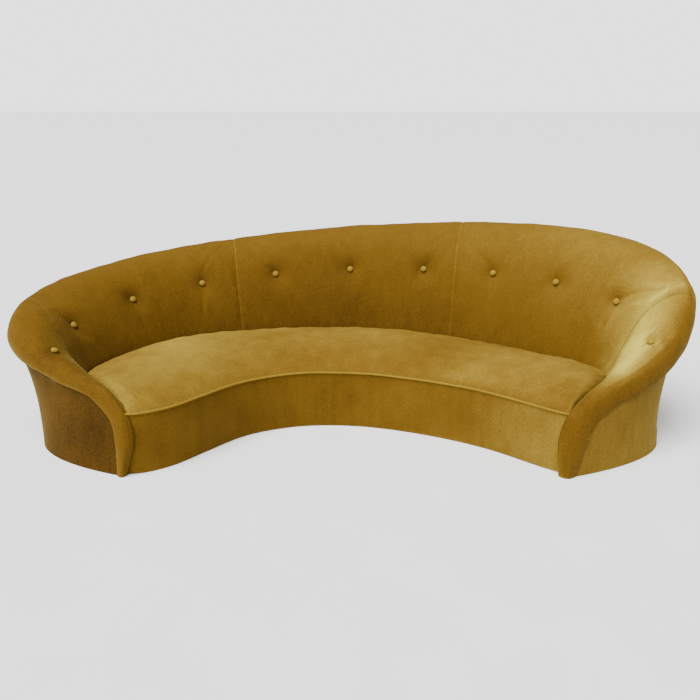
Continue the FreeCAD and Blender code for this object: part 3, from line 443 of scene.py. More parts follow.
@dataclass
class ClothRun:
    """Cloth simulation of a cover, held at its seams and buttons and swollen by the padding behind it."""

    frames: int = 20
    pressure: float = 4.0
    growth: float = 0.002
    limit: float = 0.003
    quality: int = 5
    mass: float = 0.3
    stretch_stiffness: float = 20.0
    shear_stiffness: float = 8.0
    bending_stiffness: float = 0.8

    def sheet(self, grid: np.ndarray, held: np.ndarray) -> bpy.types.Object:
        """Open sheet over a grid of points with its held points in a group."""
        rows, columns = grid.shape[:2]
        number = np.arange(rows * columns).reshape(rows, columns)
        corners = [number[:-1, :-1], number[1:, :-1], number[1:, 1:], number[:-1, 1:]]
        quads = np.stack(corners, -1).reshape(-1, 4)
        mesh = bpy.data.meshes.new("cloth_sheet")
        mesh.from_pydata(grid.reshape(-1, 3).tolist(), [], quads.tolist())
        sheet = bpy.data.objects.new("cloth_sheet", mesh)
        bpy.context.scene.collection.objects.link(sheet)
        group = sheet.vertex_groups.new(name="held")
        group.add(np.flatnonzero(held.ravel()).tolist(), 1.0, "REPLACE")
        return sheet

    def swell(self, grid: np.ndarray, held: np.ndarray) -> np.ndarray:
        """Let a cover swell between the points where it is held.

        Args:
            grid: Points of the cover.
            held: Which of them are sewn or tied down.

        Returns:
            How far each point moves.
        """
        small = halved(grid)
        sheet = self.sheet(small, halved(held))
        cloth = sheet.modifiers.new("cloth", "CLOTH")
        settings = cloth.settings
        settings.vertex_group_mass = "held"
        settings.quality = self.quality
        settings.mass = self.mass
        settings.tension_stiffness = settings.compression_stiffness = self.stretch_stiffness
        settings.shear_stiffness = self.shear_stiffness
        settings.bending_stiffness = self.bending_stiffness
        settings.use_pressure = True
        settings.uniform_pressure_force = self.pressure
        settings.shrink_min = -self.growth
        settings.effector_weights.gravity = 0.0
        scene = bpy.context.scene
        for step in range(1, self.frames + 1):
            scene.frame_set(step)
        evaluated = sheet.evaluated_get(bpy.context.evaluated_depsgraph_get())
        moved = np.empty(small.size, np.float32)
        evaluated.data.vertices.foreach_get("co", moved)
        shift = moved.reshape(small.shape).astype(float) - small
        bpy.data.objects.remove(sheet)
        scene.frame_set(1)
        length = np.linalg.norm(shift, axis=2, keepdims=True)
        shift *= self.limit * np.tanh(length / self.limit) / np.maximum(length, 1e-9)
        log.info("cloth of %d points moves by up to %.1f mm", length.size, length.max() / MM)
        return spread_out(shift, grid.shape[0], grid.shape[1])


def hand_over(
    piece: bpy.types.Object, finish: bpy.types.Material, slot: str, *nodes: str
) -> bpy.types.Object:
    """Give a piece its finish and its place on the sofa.

    Args:
        piece: The finished piece.
        finish: Its material.
        slot: The record's material slot; not used.
        nodes: The CAD nodes that it stands for.

    Returns:
        The same piece.
    """
    piece.data.materials.clear()
    piece.data.materials.append(finish)
    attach(piece, "root")
    if nodes:
        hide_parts(*nodes)
    stood_for = ", ".join(nodes) or "no node"
    log.info("%s: %d faces, stands for %s", piece.name, len(piece.data.polygons), stood_for)
    return piece


class Signal:
    """An output of a shader node that takes part in arithmetic."""

    def __init__(self, bench: "Bench", socket: bpy.types.NodeSocket) -> None:
        """Wrap a socket of a bench's tree."""
        self.bench = bench
        self.socket = socket

    def _math(self, operation: str, first: "Signal | float", second: "Signal | float") -> "Signal":
        """One Math node over two values."""
        return self.bench.node("ShaderNodeMath", {"operation": operation}, {0: first, 1: second})

    def __add__(self, other: "Signal | float") -> "Signal":
        """Sum."""
        return self._math("ADD", self, other)

    __radd__ = __add__

    def __sub__(self, other: "Signal | float") -> "Signal":
        """Difference."""
        return self._math("SUBTRACT", self, other)

    def __rsub__(self, other: "Signal | float") -> "Signal":
        """Difference, with this value taken away."""
        return self._math("SUBTRACT", other, self)

    def __mul__(self, other: "Signal | float") -> "Signal":
        """Product."""
        return self._math("MULTIPLY", self, other)

    __rmul__ = __mul__


class Bench:
    """A material under construction."""

    def __init__(self, name: str) -> None:
        """Start an empty material."""
        self.material = bpy.data.materials.new(name)
        self.material.use_nodes = True
        self.tree = self.material.node_tree
        self.tree.nodes.clear()

    def node(
        self,
        kind: str,
        settings: dict[str, object] | None = None,
        inputs: dict[str | int, object] | None = None,
        output: str | int = 0,
    ) -> Signal:
        """Make any node.

        Args:
            kind: Type of the node.
            settings: Its settings.
            inputs: Values or signals for its sockets.
            output: Which output to return.

        Returns:
            That output.
        """
        made = self.tree.nodes.new(kind)
        for name, value in (settings or {}).items():
            setattr(made, name, value)
        for name, value in (inputs or {}).items():
            socket = made.inputs[name]
            if isinstance(value, Signal):
                self.tree.links.new(value.socket, socket)
            else:
                socket.default_value = value
        if not made.outputs:
            return Signal(self, None)
        return Signal(self, made.outputs[output])

    def place(self) -> Signal:
        """Object coordinates."""
        return self.node("ShaderNodeTexCoord", output="Object")

    def stretched(self, where: Signal, scale: tuple[float, float, float]) -> Signal:
        """Coordinates scaled along each axis."""
        return self.node("ShaderNodeMapping", {}, {"Vector": where, "Scale": scale})

    def noise(self, where: Signal, scale: float, detail: float = 2.0, roughness: float = 0.5) -> Signal:
        """Soft noise from 0 to 1, with a scale in waves to the metre."""
        inputs = {"Vector": where, "Scale": scale, "Detail": detail, "Roughness": roughness}
        return self.node("ShaderNodeTexNoise", {}, inputs)

    def blend(self, factor: Signal | float, first: object, second: object) -> Signal:
        """Colour between two colours."""
        settings = {"data_type": "RGBA", "clamp_factor": True}
        return self.node("ShaderNodeMix", settings, {0: factor, 6: first, 7: second}, output=2)

    def ramp(self, value: Signal, low: float, high: float) -> Signal:
        """Smooth step from 0 to 1 between two values."""
        settings = {"interpolation_type": "SMOOTHSTEP"}
        inputs = {"Value": value, "From Min": low, "From Max": high}
        return self.node("ShaderNodeMapRange", settings, inputs)

    def bump(self, height: Signal, distance: float, strength: float = 1.0) -> Signal:
        """Normal bent by a height."""
        inputs = {"Height": height, "Distance": distance, "Strength": strength}
        return self.node("ShaderNodeBump", {}, inputs)

    def finish(self, inputs: dict[str, object]) -> bpy.types.Material:
        """Close the material with its surface.

        Args:
            inputs: Values or signals for the surface shader.

        Returns:
            The finished material.
        """
        surface = self.node("ShaderNodeBsdfPrincipled", {}, inputs)
        self.node("ShaderNodeOutputMaterial", {}, {"Surface": surface})
        return self.material


Colour = tuple[float, float, float]


def opaque(colour: Colour) -> tuple[float, float, float, float]:
    """Colour with full cover."""
    return (*colour, 1.0)


@dataclass(frozen=True)
class Velvet:
    """Cotton velvet with a short upright pile."""

    name: str
    # Colour stops pit, deep, body, bloom and shine run from dark to light along a tone that mixes random
    # mottle with painted shade and painted highlight.
    deep: Colour
    body: Colour
    bloom: Colour
    shine: Colour
    sheen: float = 0.12
    sheen_tint: Colour = (1.0, 0.80, 0.20)
    roughness: float = 0.72
    pile: float = 0.0006
    pit: Colour = (0.013, 0.0052, 0.0008)

    def make(self) -> bpy.types.Material:
        """Build the finish: pile grain, brushed patches, painted shade in folds, painted highlight on
        crests and seams, and painted light from the pile attribute.
        """
        bench = Bench(self.name)
        where = bench.place()
        grain = bench.noise(where, 620.0, 2.0, 0.65)
        mottle = bench.noise(where, 150.0, 3.0, 0.7)
        brushed = bench.noise(bench.stretched(where, (1.0, 1.0, 0.30)), 26.0, 3.0, 0.6)
        cloud = bench.noise(where, 3.2, 2.0, 0.5)
        fold_and_painted_light = bench.node("ShaderNodeAttribute", {"attribute_name": "fold_and_painted_light"}, output="Fac")
        pile_and_painted_light = bench.node("ShaderNodeAttribute", {"attribute_name": "pile_and_painted_light"}, output="Fac")
        tone = (mottle - 0.5) * 0.75 + (brushed - 0.5) * 0.26 + (cloud - 0.5) * 0.20 + (grain - 0.5) * 0.60
        # The fold and pile attributes add painted shade and painted highlight to the random tone.
        tone = tone + 0.5 + fold_and_painted_light * 0.35 + pile_and_painted_light * 0.5
        darkest = bench.blend(bench.ramp(tone, -0.45, 0.25), opaque(self.pit), opaque(self.deep))
        shaded = bench.blend(bench.ramp(tone, -0.1, 0.6), darkest, opaque(self.body))
        lighter = bench.blend(bench.ramp(tone, 0.45, 1.15), shaded, opaque(self.bloom))
        colour = bench.blend(bench.ramp(tone, 1.0, 1.7), lighter, opaque(self.shine))
        rough = self.roughness + (mottle - 0.5) * 0.18
        height = grain * 0.55 + mottle * 0.9
        return bench.finish({
            "Base Color": colour,
            "Roughness": rough,
            "Specular IOR Level": 0.02,
            "Sheen Weight": self.sheen,
            "Sheen Roughness": 0.42,
            "Sheen Tint": opaque(self.sheen_tint),
            "Normal": bench.bump(height, self.pile, 0.9),
        })


class Grain(Enum):
    """Way that the grain of a board runs."""

    ALONG_X = (0.05, 1.0, 1.0)
    ALONG_Z = (1.0, 1.0, 0.05)


@dataclass(frozen=True)
class Timber:
    """Solid beech, or plywood with its plies showing at the edges."""

    name: str
    light: Colour
    dark: Colour
    grain: Grain = Grain.ALONG_X
    plies: float = 0.0

    def make(self) -> bpy.types.Material:
        """Build the finish: grain lines, flecks and, on plywood, plies."""
        bench = Bench(self.name)
        where = bench.place()
        lines = bench.noise(bench.stretched(where, self.grain.value), 140.0, 4.0, 0.6)
        fleck = bench.noise(bench.stretched(where, self.grain.value), 700.0, 1.0, 0.5)
        tone = lines * 0.7 + fleck * 0.3
        height = tone
        if self.plies:
            wave = {"Vector": where, "Scale": self.plies, "Distortion": 0.6, "Detail": 1.0}
            ply = bench.node("ShaderNodeTexWave", {"bands_direction": "Z"}, wave, output="Fac")
            tone = tone * 0.72 + ply * 0.28
        colour = bench.blend(bench.ramp(tone, 0.3, 0.75), opaque(self.dark), opaque(self.light))
        return bench.finish({
            "Base Color": colour,
            "Roughness": 0.62 + (fleck - 0.5) * 0.2,
            "Normal": bench.bump(height, 0.0004, 0.6),
        })


@dataclass(frozen=True)
class PlainWeave:
    """Woven cloth: hessian, jute, dust cloth or twine."""

    name: str
    thread: Colour
    gap: Colour
    threads: float
    relief: float = 0.0004

    def make(self) -> bpy.types.Material:
        """Build the finish: crossed threads with uneven thickness."""
        bench = Bench(self.name)
        where = bench.place()
        wave = {"Vector": where, "Scale": self.threads / 3.1416, "Distortion": 1.2, "Detail": 1.0}
        across = bench.node("ShaderNodeTexWave", {"bands_direction": "X"}, wave, output="Fac")
        upward = bench.node("ShaderNodeTexWave", {"bands_direction": "Z"}, wave, output="Fac")
        level = bench.node("ShaderNodeTexWave", {"bands_direction": "Y"}, wave, output="Fac")
        slub = bench.noise(where, 60.0, 2.0, 0.6)
        weave = (across * 0.34 + upward * 0.33 + level * 0.33) * 0.8 + slub * 0.4
        colour = bench.blend(bench.ramp(weave, 0.3, 0.75), opaque(self.gap), opaque(self.thread))
        return bench.finish({
            "Base Color": colour,
            "Roughness": 0.85 + (slub - 0.5) * 0.1,
            "Normal": bench.bump(weave, self.relief, 0.8),
        })


@dataclass(frozen=True)
class Felted:
    """Matted fibre: wadding or felt."""

    name: str
    light: Colour
    dark: Colour

    def make(self) -> bpy.types.Material:
        """Build the finish: clumped fibres."""
        bench = Bench(self.name)
        where = bench.place()
        fibre = bench.noise(where, 420.0, 5.0, 0.75)
        clump = bench.noise(where, 38.0, 2.0, 0.5)
        tone = fibre * 0.6 + clump * 0.4
        colour = bench.blend(bench.ramp(tone, 0.3, 0.7), opaque(self.dark), opaque(self.light))
        return bench.finish({
            "Base Color": colour,
            "Roughness": 0.92 + (clump - 0.5) * 0.08,
            "Normal": bench.bump(tone, 0.0012, 0.8),
        })


@dataclass(frozen=True)
class DrawnSteel:
    """Drawn spring wire, screws and clips."""

    name: str
    bright: Colour
    dull: Colour
    roughness: float = 0.34

    def make(self) -> bpy.types.Material:
        """Build the finish: drawing marks and dull patches."""
        bench = Bench(self.name)
        where = bench.place()
        patch = bench.noise(where, 55.0, 3.0, 0.6)
        scratch = bench.noise(bench.stretched(where, (1.0, 12.0, 1.0)), 240.0, 2.0, 0.5)
        colour = bench.blend(bench.ramp(patch, 0.35, 0.7), opaque(self.dull), opaque(self.bright))
        return bench.finish({
            "Base Color": colour,
            "Metallic": 1.0,
            "Roughness": self.roughness + (patch - 0.5) * 0.3 + (scratch - 0.5) * 0.12,
            "Normal": bench.bump(scratch, 0.0001, 0.5),
        })


@dataclass(frozen=True)
class MouldedPlastic:
    """Moulded plastic with a fine spark texture."""

    name: str
    face: Colour
    worn: Colour

    def make(self) -> bpy.types.Material:
        """Build the finish: spark texture and scuffs."""
        bench = Bench(self.name)
        where = bench.place()
        spark = bench.noise(where, 1500.0, 1.0, 0.5)
        scuff = bench.noise(where, 120.0, 4.0, 0.7)
        colour = bench.blend(bench.ramp(scuff, 0.55, 0.8), opaque(self.face), opaque(self.worn))
        return bench.finish({
            "Base Color": colour,
            "Roughness": 0.45 + (scuff - 0.5) * 0.25,
            "Normal": bench.bump(spark, 0.0002, 0.4),
        })


@dataclass
class Finishes:
    """Every finish of the sofa, made once."""

    velvet: Velvet = Velvet(
        "mustard_velvet",
        deep=(0.056, 0.0245, 0.0032),
        body=(0.117, 0.061, 0.0060),
        bloom=(0.226, 0.152, 0.022),
        shine=(0.44, 0.365, 0.056),
    )
    # The piping's velvet is the seat velvet painted lighter, as a painted highlight on the round cord.
    piping: Velvet = Velvet(
        "piping_velvet_with_painted_highlight",
        deep=(0.12, 0.070, 0.004),
        body=(0.20, 0.125, 0.012),
        bloom=(0.30, 0.20, 0.03),
        shine=(0.40, 0.30, 0.06),
        sheen=0.3,
    )
    # The buttons' velvet is the seat velvet painted lighter, as a painted highlight on their domes.
    button: Velvet = Velvet(
        "button_velvet_with_painted_highlight",
        deep=(0.13, 0.075, 0.005),
        body=(0.22, 0.140, 0.016),
        bloom=(0.32, 0.22, 0.04),
        shine=(0.42, 0.32, 0.08),
        sheen=0.3,
    )
    beech: Timber = Timber("beech_finish", (0.56, 0.34, 0.17), (0.38, 0.20, 0.09))
    plywood: Timber = Timber("plywood_finish", (0.62, 0.43, 0.24), (0.40, 0.25, 0.12), plies=120.0)
    upright_plywood: Timber = Timber(
        "rib_plywood_finish", (0.62, 0.43, 0.24), (0.42, 0.26, 0.13), Grain.ALONG_Z, plies=60.0
    )
    hessian: PlainWeave = PlainWeave("hessian_finish", (0.40, 0.28, 0.15), (0.14, 0.09, 0.04), 700.0)
    jute: PlainWeave = PlainWeave("jute_finish", (0.34, 0.22, 0.11), (0.11, 0.07, 0.03), 420.0, 0.0008)
    twine: PlainWeave = PlainWeave("twine_finish", (0.56, 0.47, 0.32), (0.30, 0.24, 0.15), 1200.0)
    dust_cloth: PlainWeave = PlainWeave(
        "dust_cloth_finish", (0.020, 0.020, 0.021), (0.006, 0.006, 0.006), 900.0
    )
    felt: Felted = Felted("felt_finish", (0.26, 0.24, 0.22), (0.13, 0.12, 0.11))
    wadding: Felted = Felted("wadding_finish", (0.78, 0.74, 0.66), (0.62, 0.57, 0.48))
    spring_steel: DrawnSteel = DrawnSteel("spring_steel_finish", (0.42, 0.42, 0.43), (0.22, 0.22, 0.23))
    clip_steel: DrawnSteel = DrawnSteel("clip_steel_finish", (0.60, 0.60, 0.61), (0.40, 0.40, 0.41), 0.28)
    glide: MouldedPlastic = MouldedPlastic("glide_finish", (0.012, 0.011, 0.010), (0.040, 0.037, 0.034))
    toggle: MouldedPlastic = MouldedPlastic("toggle_finish", (0.60, 0.57, 0.48), (0.45, 0.42, 0.35))
    made: dict[str, bpy.types.Material] = field(default_factory=dict)

    def get(self, name: str) -> bpy.types.Material:
        """A finish by its field name, built when it is first asked for."""
        if name not in self.made:
            self.made[name] = getattr(self, name).make()
        return self.made[name]


@dataclass(frozen=True)
class ButtonPlace:
    """Where a button pulls the cover in."""

    point: np.ndarray
    side: np.ndarray
    up: np.ndarray
    out: np.ndarray
    padding: float


def button_places(wall: WallLines) -> list[ButtonPlace]:
    """Places of the covered buttons on the inside face."""
    places = []
    step = 0.01
    for bearing, part in BUTTONS:
        key = wall.key_at(bearing)
        near = wall.face(np.array([key, key + 0.2]), np.array([part, part + step]))
        point = near[0, 0]
        side = unit(near[1, 0] - point)
        up = unit(near[0, 1] - point)
        out = unit(np.cross(side, up))
        up = np.cross(out, side)
        depth = float(wall.padding(np.array([key]), np.array([0.0]), np.array([0.0]))[0, 0])
        places.append(ButtonPlace(point, side, up, out, depth))
    return places


@dataclass(frozen=True)
class PanelSeam:
    """Seam across the inside face: its bearings at the crease, halfway up and at the rim, its painted
    highlight (shine), its dip and its gap.
    """

    crease: float
    middle: float
    rim: float
    shine: float = 1.0
    dip: float = 1.0
    gap: float = 0.002

    def bearing(self, part: float) -> float:
        """Bearing at a part of the way up the face."""
        part = min(part, 1.0)
        bend = 4 * (self.middle - (self.crease + self.rim) / 2)
        return self.crease + (self.rim - self.crease) * part + bend * part * (1 - part)


@dataclass
class InsideBack:
    """Five padded panels from the seat crease over the rolled rim to the seam under it."""

    wall: WallLines
    buttons: list[ButtonPlace]
    spacing: float = 0.008
    face_points: int = 66
    roll_points: int = 34
    cover: float = 0.002
    pad_clearance: float = 0.008
    pad_room: float = 0.18
    end_gap: float = 0.01
    toe_rows: int = 18
    seam_rows: int = 2
    pad_fill: float = 0.92
    roll_thinning: float = 0.35
    least_pad: float = 0.001
    seams: tuple[PanelSeam, ...] = (
        PanelSeam(-100.0, -87.0, -79.5, 0.6, 0.5),
        PanelSeam(-25.5, -25.8, -25.2),
        PanelSeam(24.6, 24.6, 24.6, 0.7),
        PanelSeam(92.0, 92.0, 92.0, 0.0, 0.0, 0.0),
    )
    tuft_depth: float = 0.0085
    tuft_reach: float = 0.030
    hollow_depth: float = 0.0060
    hollow_reach: float = 0.075
    slack: float = 0.002
    tie_reach: float = 0.014
    cloth: ClothRun = field(default_factory=ClothRun)
    under_seat: tuple[float, ...] = (0.026, 0.018, 0.011, 0.005)
    under_roll: tuple[float, ...] = (0.004, 0.009)
    names: tuple[str, ...] = ("left_arm", "left_back", "centre", "right_back", "right_arm")
    creases: tuple[tuple[float, float, float], ...] = (
        (92, 0.075, 1.6),
        (58, 0.050, 0.8),
        (124, 0.055, 0.9),
        (-76, 0.040, 0.7),
    )

    def tufts(self, grid: np.ndarray) -> tuple[np.ndarray, np.ndarray]:
        """Depth of the pull round each button with its creases, and the painted shade above each button
        with the painted highlight below it.
        """
        lift = np.zeros(grid.shape[:2])
        painted_tuft_light = np.zeros(grid.shape[:2])
        for number, button in enumerate(self.buttons):
            away = grid - button.point
            across = away @ button.side
            upward = away @ button.up
            reach = np.hypot(across, upward)
            near = (reach < 0.45) & (np.abs(away @ button.out) < 0.12)
            if not near.any():
                continue
            pull = self.tuft_depth * np.exp(-((reach / self.tuft_reach) ** 1.4))
            pull += self.hollow_depth * np.exp(-((reach / self.hollow_reach) ** 2))
            draw = np.random.default_rng(100 + number)
            for turn, length, depth in self.creases:
                angle = math.radians(turn + draw.uniform(-12, 12))
                run = across * math.cos(angle) + upward * math.sin(angle)
                off = -across * math.sin(angle) + upward * math.cos(angle)
                bend = 0.10 * run * math.sin(number * 2.1 + turn)
                width = 0.0055 + 0.10 * np.clip(run, 0, length)
                end = length * draw.uniform(0.8, 1.2)
                fade = np.clip(run / 0.014, 0, 1) * np.clip(1 - run / end, 0, 1) ** 1.5
                pull += depth * MM * fade * np.exp(-(((off - bend) / width) ** 2))
            lift -= np.where(near, pull, 0.0)
            # Painted shade on the upper slope of each tuft and painted highlight on its lower slope.
            slope = -(0.85 * upward - 0.35 * across) / 0.045
            painted_tuft_light += np.where(near, slope * np.exp(-((reach / 0.055) ** 2)), 0.0)
        return lift, painted_tuft_light

    def seam_dip(self, grid: np.ndarray, ends: tuple[PanelSeam | None, PanelSeam | None]) -> np.ndarray:
        """Fall of the cover into the seams at a panel's two ends."""
        dip = np.zeros(grid.shape[:2])
        along = np.linspace(0, 1, grid.shape[1])[None, :]
        for edge, seed, seam in ((0, 3, ends[0]), (-1, 5, ends[1])):
            if seam is None:
                continue
            away = np.linalg.norm(grid - grid[edge][None], axis=2)
            pucker = 1 + 0.45 * np.sin(along * 74 + seed) * np.sin(along * 31 + 2 * seed)
            fall = 0.0036 * np.exp(-away / 0.0045) + 0.0024 * pucker * np.exp(-((away / 0.026) ** 2))
            dip -= seam.dip * fall
        return dip

    def roll_folds(self, grid: np.ndarray, keys: np.ndarray) -> np.ndarray:
        """Gathers that run over the roll, deeper towards its seam and on the turns."""
        rim = self.face_points - 1
        place = np.clip((np.arange(grid.shape[1]) - rim) / self.roll_points, -0.4, 1.0)
        weight = np.clip(place + 0.35, 0, 1.2)[None, :] ** 1.6
        rim_line = grid[:, rim]
        run = np.concatenate([[0.0], np.cumsum(np.linalg.norm(np.diff(rim_line, axis=0), axis=1))])
        bearing = self.wall.read(keys, "bearing")
        back_turn = np.exp(-(((np.abs(bearing) - 84) / 15) ** 2))
        arm_turn = 0.8 * np.exp(-(((np.abs(bearing) - 122) / 12) ** 2))
        turn = 0.25 + back_turn + arm_turn
        slant = 0.035 * place[None, :]
        phase = run[:, None] + slant
        folds = np.zeros(grid.shape[:2])
        for length, depth, shift in ((0.118, 1.0, 0.4), (0.071, 0.8, 1.9), (0.043, 0.5, 3.3)):
            folds += depth * np.abs(np.sin(np.pi * phase / length + shift)) ** 0.7
        return 0.0010 * (folds - 1.5) * weight * turn[:, None]

    def laid(self, first: list[float], last: list[float]) -> tuple[np.ndarray, np.ndarray, np.ndarray]:
        """Grid of a panel laid flat on the wall's lines.

        Args:
            first: Key of the panel's first row at each column.
            last: Key of its last row at each column.

        Returns:
            The points, the depth of the padding under them, and the keys of the rows halfway up.
        """
        middle = self.face_points // 2
        rows = self.wall.spread(first[middle], last[middle], self.spacing)
        parts = (rows - first[middle]) / (last[middle] - first[middle])
        points, depths = [], []
        none = np.zeros(0)
        for column, (low, high) in enumerate(zip(first, last)):
            keys = low + (high - low) * parts
            at_roll = column - self.face_points + 1
            if at_roll < 0:
                part = np.array([column / (self.face_points - 1)])
                points.append(self.wall.face(keys, part)[:, 0])
                depths.append(self.wall.padding(keys, part, none)[:, 0])
            else:
                part = np.array([at_roll / self.roll_points])
                points.append(self.wall.roll(keys, part)[:, 0])
                depths.append(self.wall.padding(keys, none, part)[:, 0])
        return np.stack(points, 1), np.stack(depths, 1), rows

    def pile_and_painted_light(self, grid: np.ndarray, out: np.ndarray, rim_share: np.ndarray) -> np.ndarray:
        """Painted light over a grid: lighter higher up and to the right, darker low in the middle, a
        painted highlight where the arms face the key light and along the toe edges, lighter under the left
        roll.
        """
        right = share(grid[..., 0] + 0.05, 1.25) ** 1.4
        height = share(grid[..., 2] - 0.34, 0.46)
        tone = -0.58 + 0.44 * height + (0.38 + 0.14 * height) * right
        tone -= 0.12 * (1 - height) * np.exp(-((grid[..., 0] / 0.55) ** 2))
        on_right = grid[..., 0] > 0
        turn = share(-grid[..., 1] - np.where(on_right, 0.10, 0.02), 0.26)
        arm = share(np.abs(grid[..., 0]) - np.where(on_right, 1.00, 0.84), 0.18) * turn
        facing_key_light = np.clip(0.75 * out[..., 2] - 0.65 * out[..., 0], 0, 1)
        facing_front = np.clip(-out[..., 1], 0, 1)
        # Painted highlight where the right arm faces the key light, darker where it faces the front.
        tone += arm * np.where(on_right, 2.3 * facing_key_light**2.2 - 0.35 * facing_front, 0.10 * facing_key_light)
        under = np.clip(0.30 - out[..., 2], 0, 1) * rim_share
        band = share(-grid[..., 1] - 0.52, 0.12) * share(0.34 - grid[..., 2], 0.06)
        toe_edge_highlight = np.clip(-out[..., 0] - 0.50, 0, 1) * share(-grid[..., 1] - 0.45, 0.15)
        # Lighter under the left roll, a little darker under the right one, and a painted highlight on toe
        # edges that face the key light.
        tone += arm * np.where(on_right, -0.12, 1.1) * under + np.where(on_right, 1.8, 0.3) * toe_edge_highlight
        return tone + band * np.where(on_right, -0.05, 0.22)

    def build(self, finishes: Finishes) -> None:
        """Make each panel's cover and padding."""
        columns = self.face_points + self.roll_points
        edges = [[self.wall.keys[0] + 0.02] * columns]
        for seam in self.seams:
            bearings = [seam.bearing(column / (self.face_points - 1)) for column in range(columns)]
            edges.append([self.wall.key_at(bearing) for bearing in bearings])
        edges.append([self.wall.keys[-1] - 0.02] * columns)
        ends = [None, *self.seams, None]
        rim_share = np.clip((np.arange(columns) - self.face_points + 6) / 12, 0, 1)[None, :]
        for number, name in enumerate(self.names):
            own_ends = (ends[number], ends[number + 1])
            gaps = [self.end_gap if seam is None else seam.gap for seam in own_ends]
            first = [key + gaps[0] for key in edges[number]]
            last = [key - gaps[1] for key in edges[number + 1]]
            laid, depth, rows = self.laid(first, last)
            normals = normals_of(laid)
            pulled, painted_tuft_light = self.tufts(laid)
            lift = pulled + self.seam_dip(laid, own_ends) + self.roll_folds(laid, rows)
            fade = np.minimum(np.linspace(0, 1, columns) * 8, 1)[None, :]
            lift += 0.0007 * fade * Unevenness(11, 0.16).at(laid) + 0.0014 * Unevenness(12, 0.42).at(laid)
            lift *= np.clip((1 - np.linspace(0, 1, columns)) * 14, 0, 1)[None, :]
            settled = np.clip(np.arange(columns) / 6, 0, 1)[None, :]
            padded = laid + normals * ((lift - self.slack) * settled)[..., None]
            held = np.zeros(laid.shape[:2], bool)
            held[[0, -1]] = held[:, [0, -1]] = True
            for button in self.buttons:
                held |= np.linalg.norm(laid - button.point, axis=2) < self.tie_reach
            padded += self.cloth.swell(padded, held)
            out = normals_of(padded)
            # Painted highlight along each seam, added to the lift, which paints shade in pulls and dips and
            # highlight on raised parts.
            lines = np.zeros(laid.shape[:2])
            for edge, seam in zip((0, -1), own_ends):
                if seam is not None:
                    away = np.linalg.norm(laid - laid[edge][None], axis=2)
                    lines += seam.shine * np.exp(-((away / 0.0028) ** 2))
            fold_and_painted_light = np.clip(lift / 0.030, -0.5, 0.5) + lines
            # Painted light of the wall, with painted shade above each button and painted highlight below
            # it.
            pile_and_painted_light = self.pile_and_painted_light(laid, out, rim_share) + 0.42 * painted_tuft_light
            cover_grid, fold_and_painted_light, pile_and_painted_light = self.turned_in(padded, laid, out, rows, fold_and_painted_light, pile_and_painted_light)
            cover_out = normals_of(cover_grid)
            under = cover_grid - cover_out * self.cover
            cover = shell(f"{name}_inside_panel", cover_grid, under, fold_and_painted_light, pile_and_painted_light)
            hand_over(cover, finishes.get("velvet"), "velvet", f"{name}_inside_cover")
            room = np.minimum(self.pad_clearance, self.pad_room * depth)[..., None]
            thin = (self.pad_fill - self.roll_thinning * rim_share) * depth + self.cover
            thin = np.maximum(thin[..., None], self.slack + self.cover + room + self.least_pad)
            start, stop = (self.toe_rows if seam is None else self.seam_rows for seam in own_ends)
            inner = np.s_[start:-stop:3, 3:-11:3]
            pad_front = (padded - out * (self.cover + room))[inner]
            pad_back = (laid - normals * thin)[inner]
            pad = shell(f"{name}_wadding", pad_front, pad_back)
            hand_over(pad, finishes.get("wadding"), "padding", f"{name}_pad")

    def turned_in(
        self,
        padded: np.ndarray,
        laid: np.ndarray,
        out: np.ndarray,
        rows: np.ndarray,
        fold_and_painted_light: np.ndarray,
        pile_and_painted_light: np.ndarray,
    ) -> tuple[np.ndarray, np.ndarray, np.ndarray]:
        """Carry the cover on behind the seat and in under the roll, painted dark there as shade.

        Args:
            padded: The visible surface.
            laid: The same surface without its folds; not used.
            out: Normals of the visible surface; not used.
            rows: Keys of the rows.
            fold_and_painted_light: Crests and folds, as painted highlight and painted shade.
            pile_and_painted_light: Painted light and random pile tone.

        Returns:
            The longer surface, with its folds and painted shade, and its painted light.
        """
        bearing = np.abs(self.wall.read(rows, "bearing"))
        upright = share(132.0 - bearing, 6.0)[:, None]
        down = np.zeros((len(rows), 3))
        down[:, 2] = -1.0
        low = [padded[:, 0] + down * (drop * upright + 0.0002) for drop in self.under_seat]
        inward = unit(padded[:, -1] - padded[:, -3]) * 0.4 - self.wall.anchors(rows)["out"]
        high = [padded[:, -1] + unit(inward) * depth for depth in self.under_roll]
        grid = np.concatenate([np.stack(low, 1), padded, np.stack(high, 1)], axis=1)
        # Painted shade: the turned-in rows behind the seat and under the roll are darkened.
        dark = np.full((len(rows), 1), -0.9)
        painted_shade_low, painted_shade_high = dark + np.zeros((1, len(low))), dark + np.zeros((1, len(high)))
        fold_and_painted_light = np.concatenate([painted_shade_low, fold_and_painted_light, painted_shade_high], axis=1)
        before, after = np.repeat(pile_and_painted_light[:, :1], len(low), 1), np.repeat(pile_and_painted_light[:, -1:], len(high), 1)
        pile_and_painted_light = np.concatenate([before, pile_and_painted_light, after], axis=1)
        return grid, fold_and_painted_light, pile_and_painted_light


@dataclass(frozen=True)
class Wrinkle:
    """Short fold in the seat: its middle in plan, its length, width and turn in degrees, and its height."""

    across: float
    back: float
    length: float
    width: float
    turn: float
    height: float

    def at(self, points: np.ndarray) -> np.ndarray:
        """Height of the fold over points, with a hollow along one side."""
        angle = math.radians(self.turn)
        x, y = points[..., 0] - self.across, points[..., 1] - self.back
        run = x * math.cos(angle) + y * math.sin(angle)
        off = -x * math.sin(angle) + y * math.cos(angle)
        reach = np.exp(-((run / self.length) ** 2))
        hollow = 0.8 * np.exp(-(((off + 1.6 * self.width) / self.width) ** 2))
        ridge = np.exp(-((off / self.width) ** 2)) - hollow
        return self.height * reach * ridge


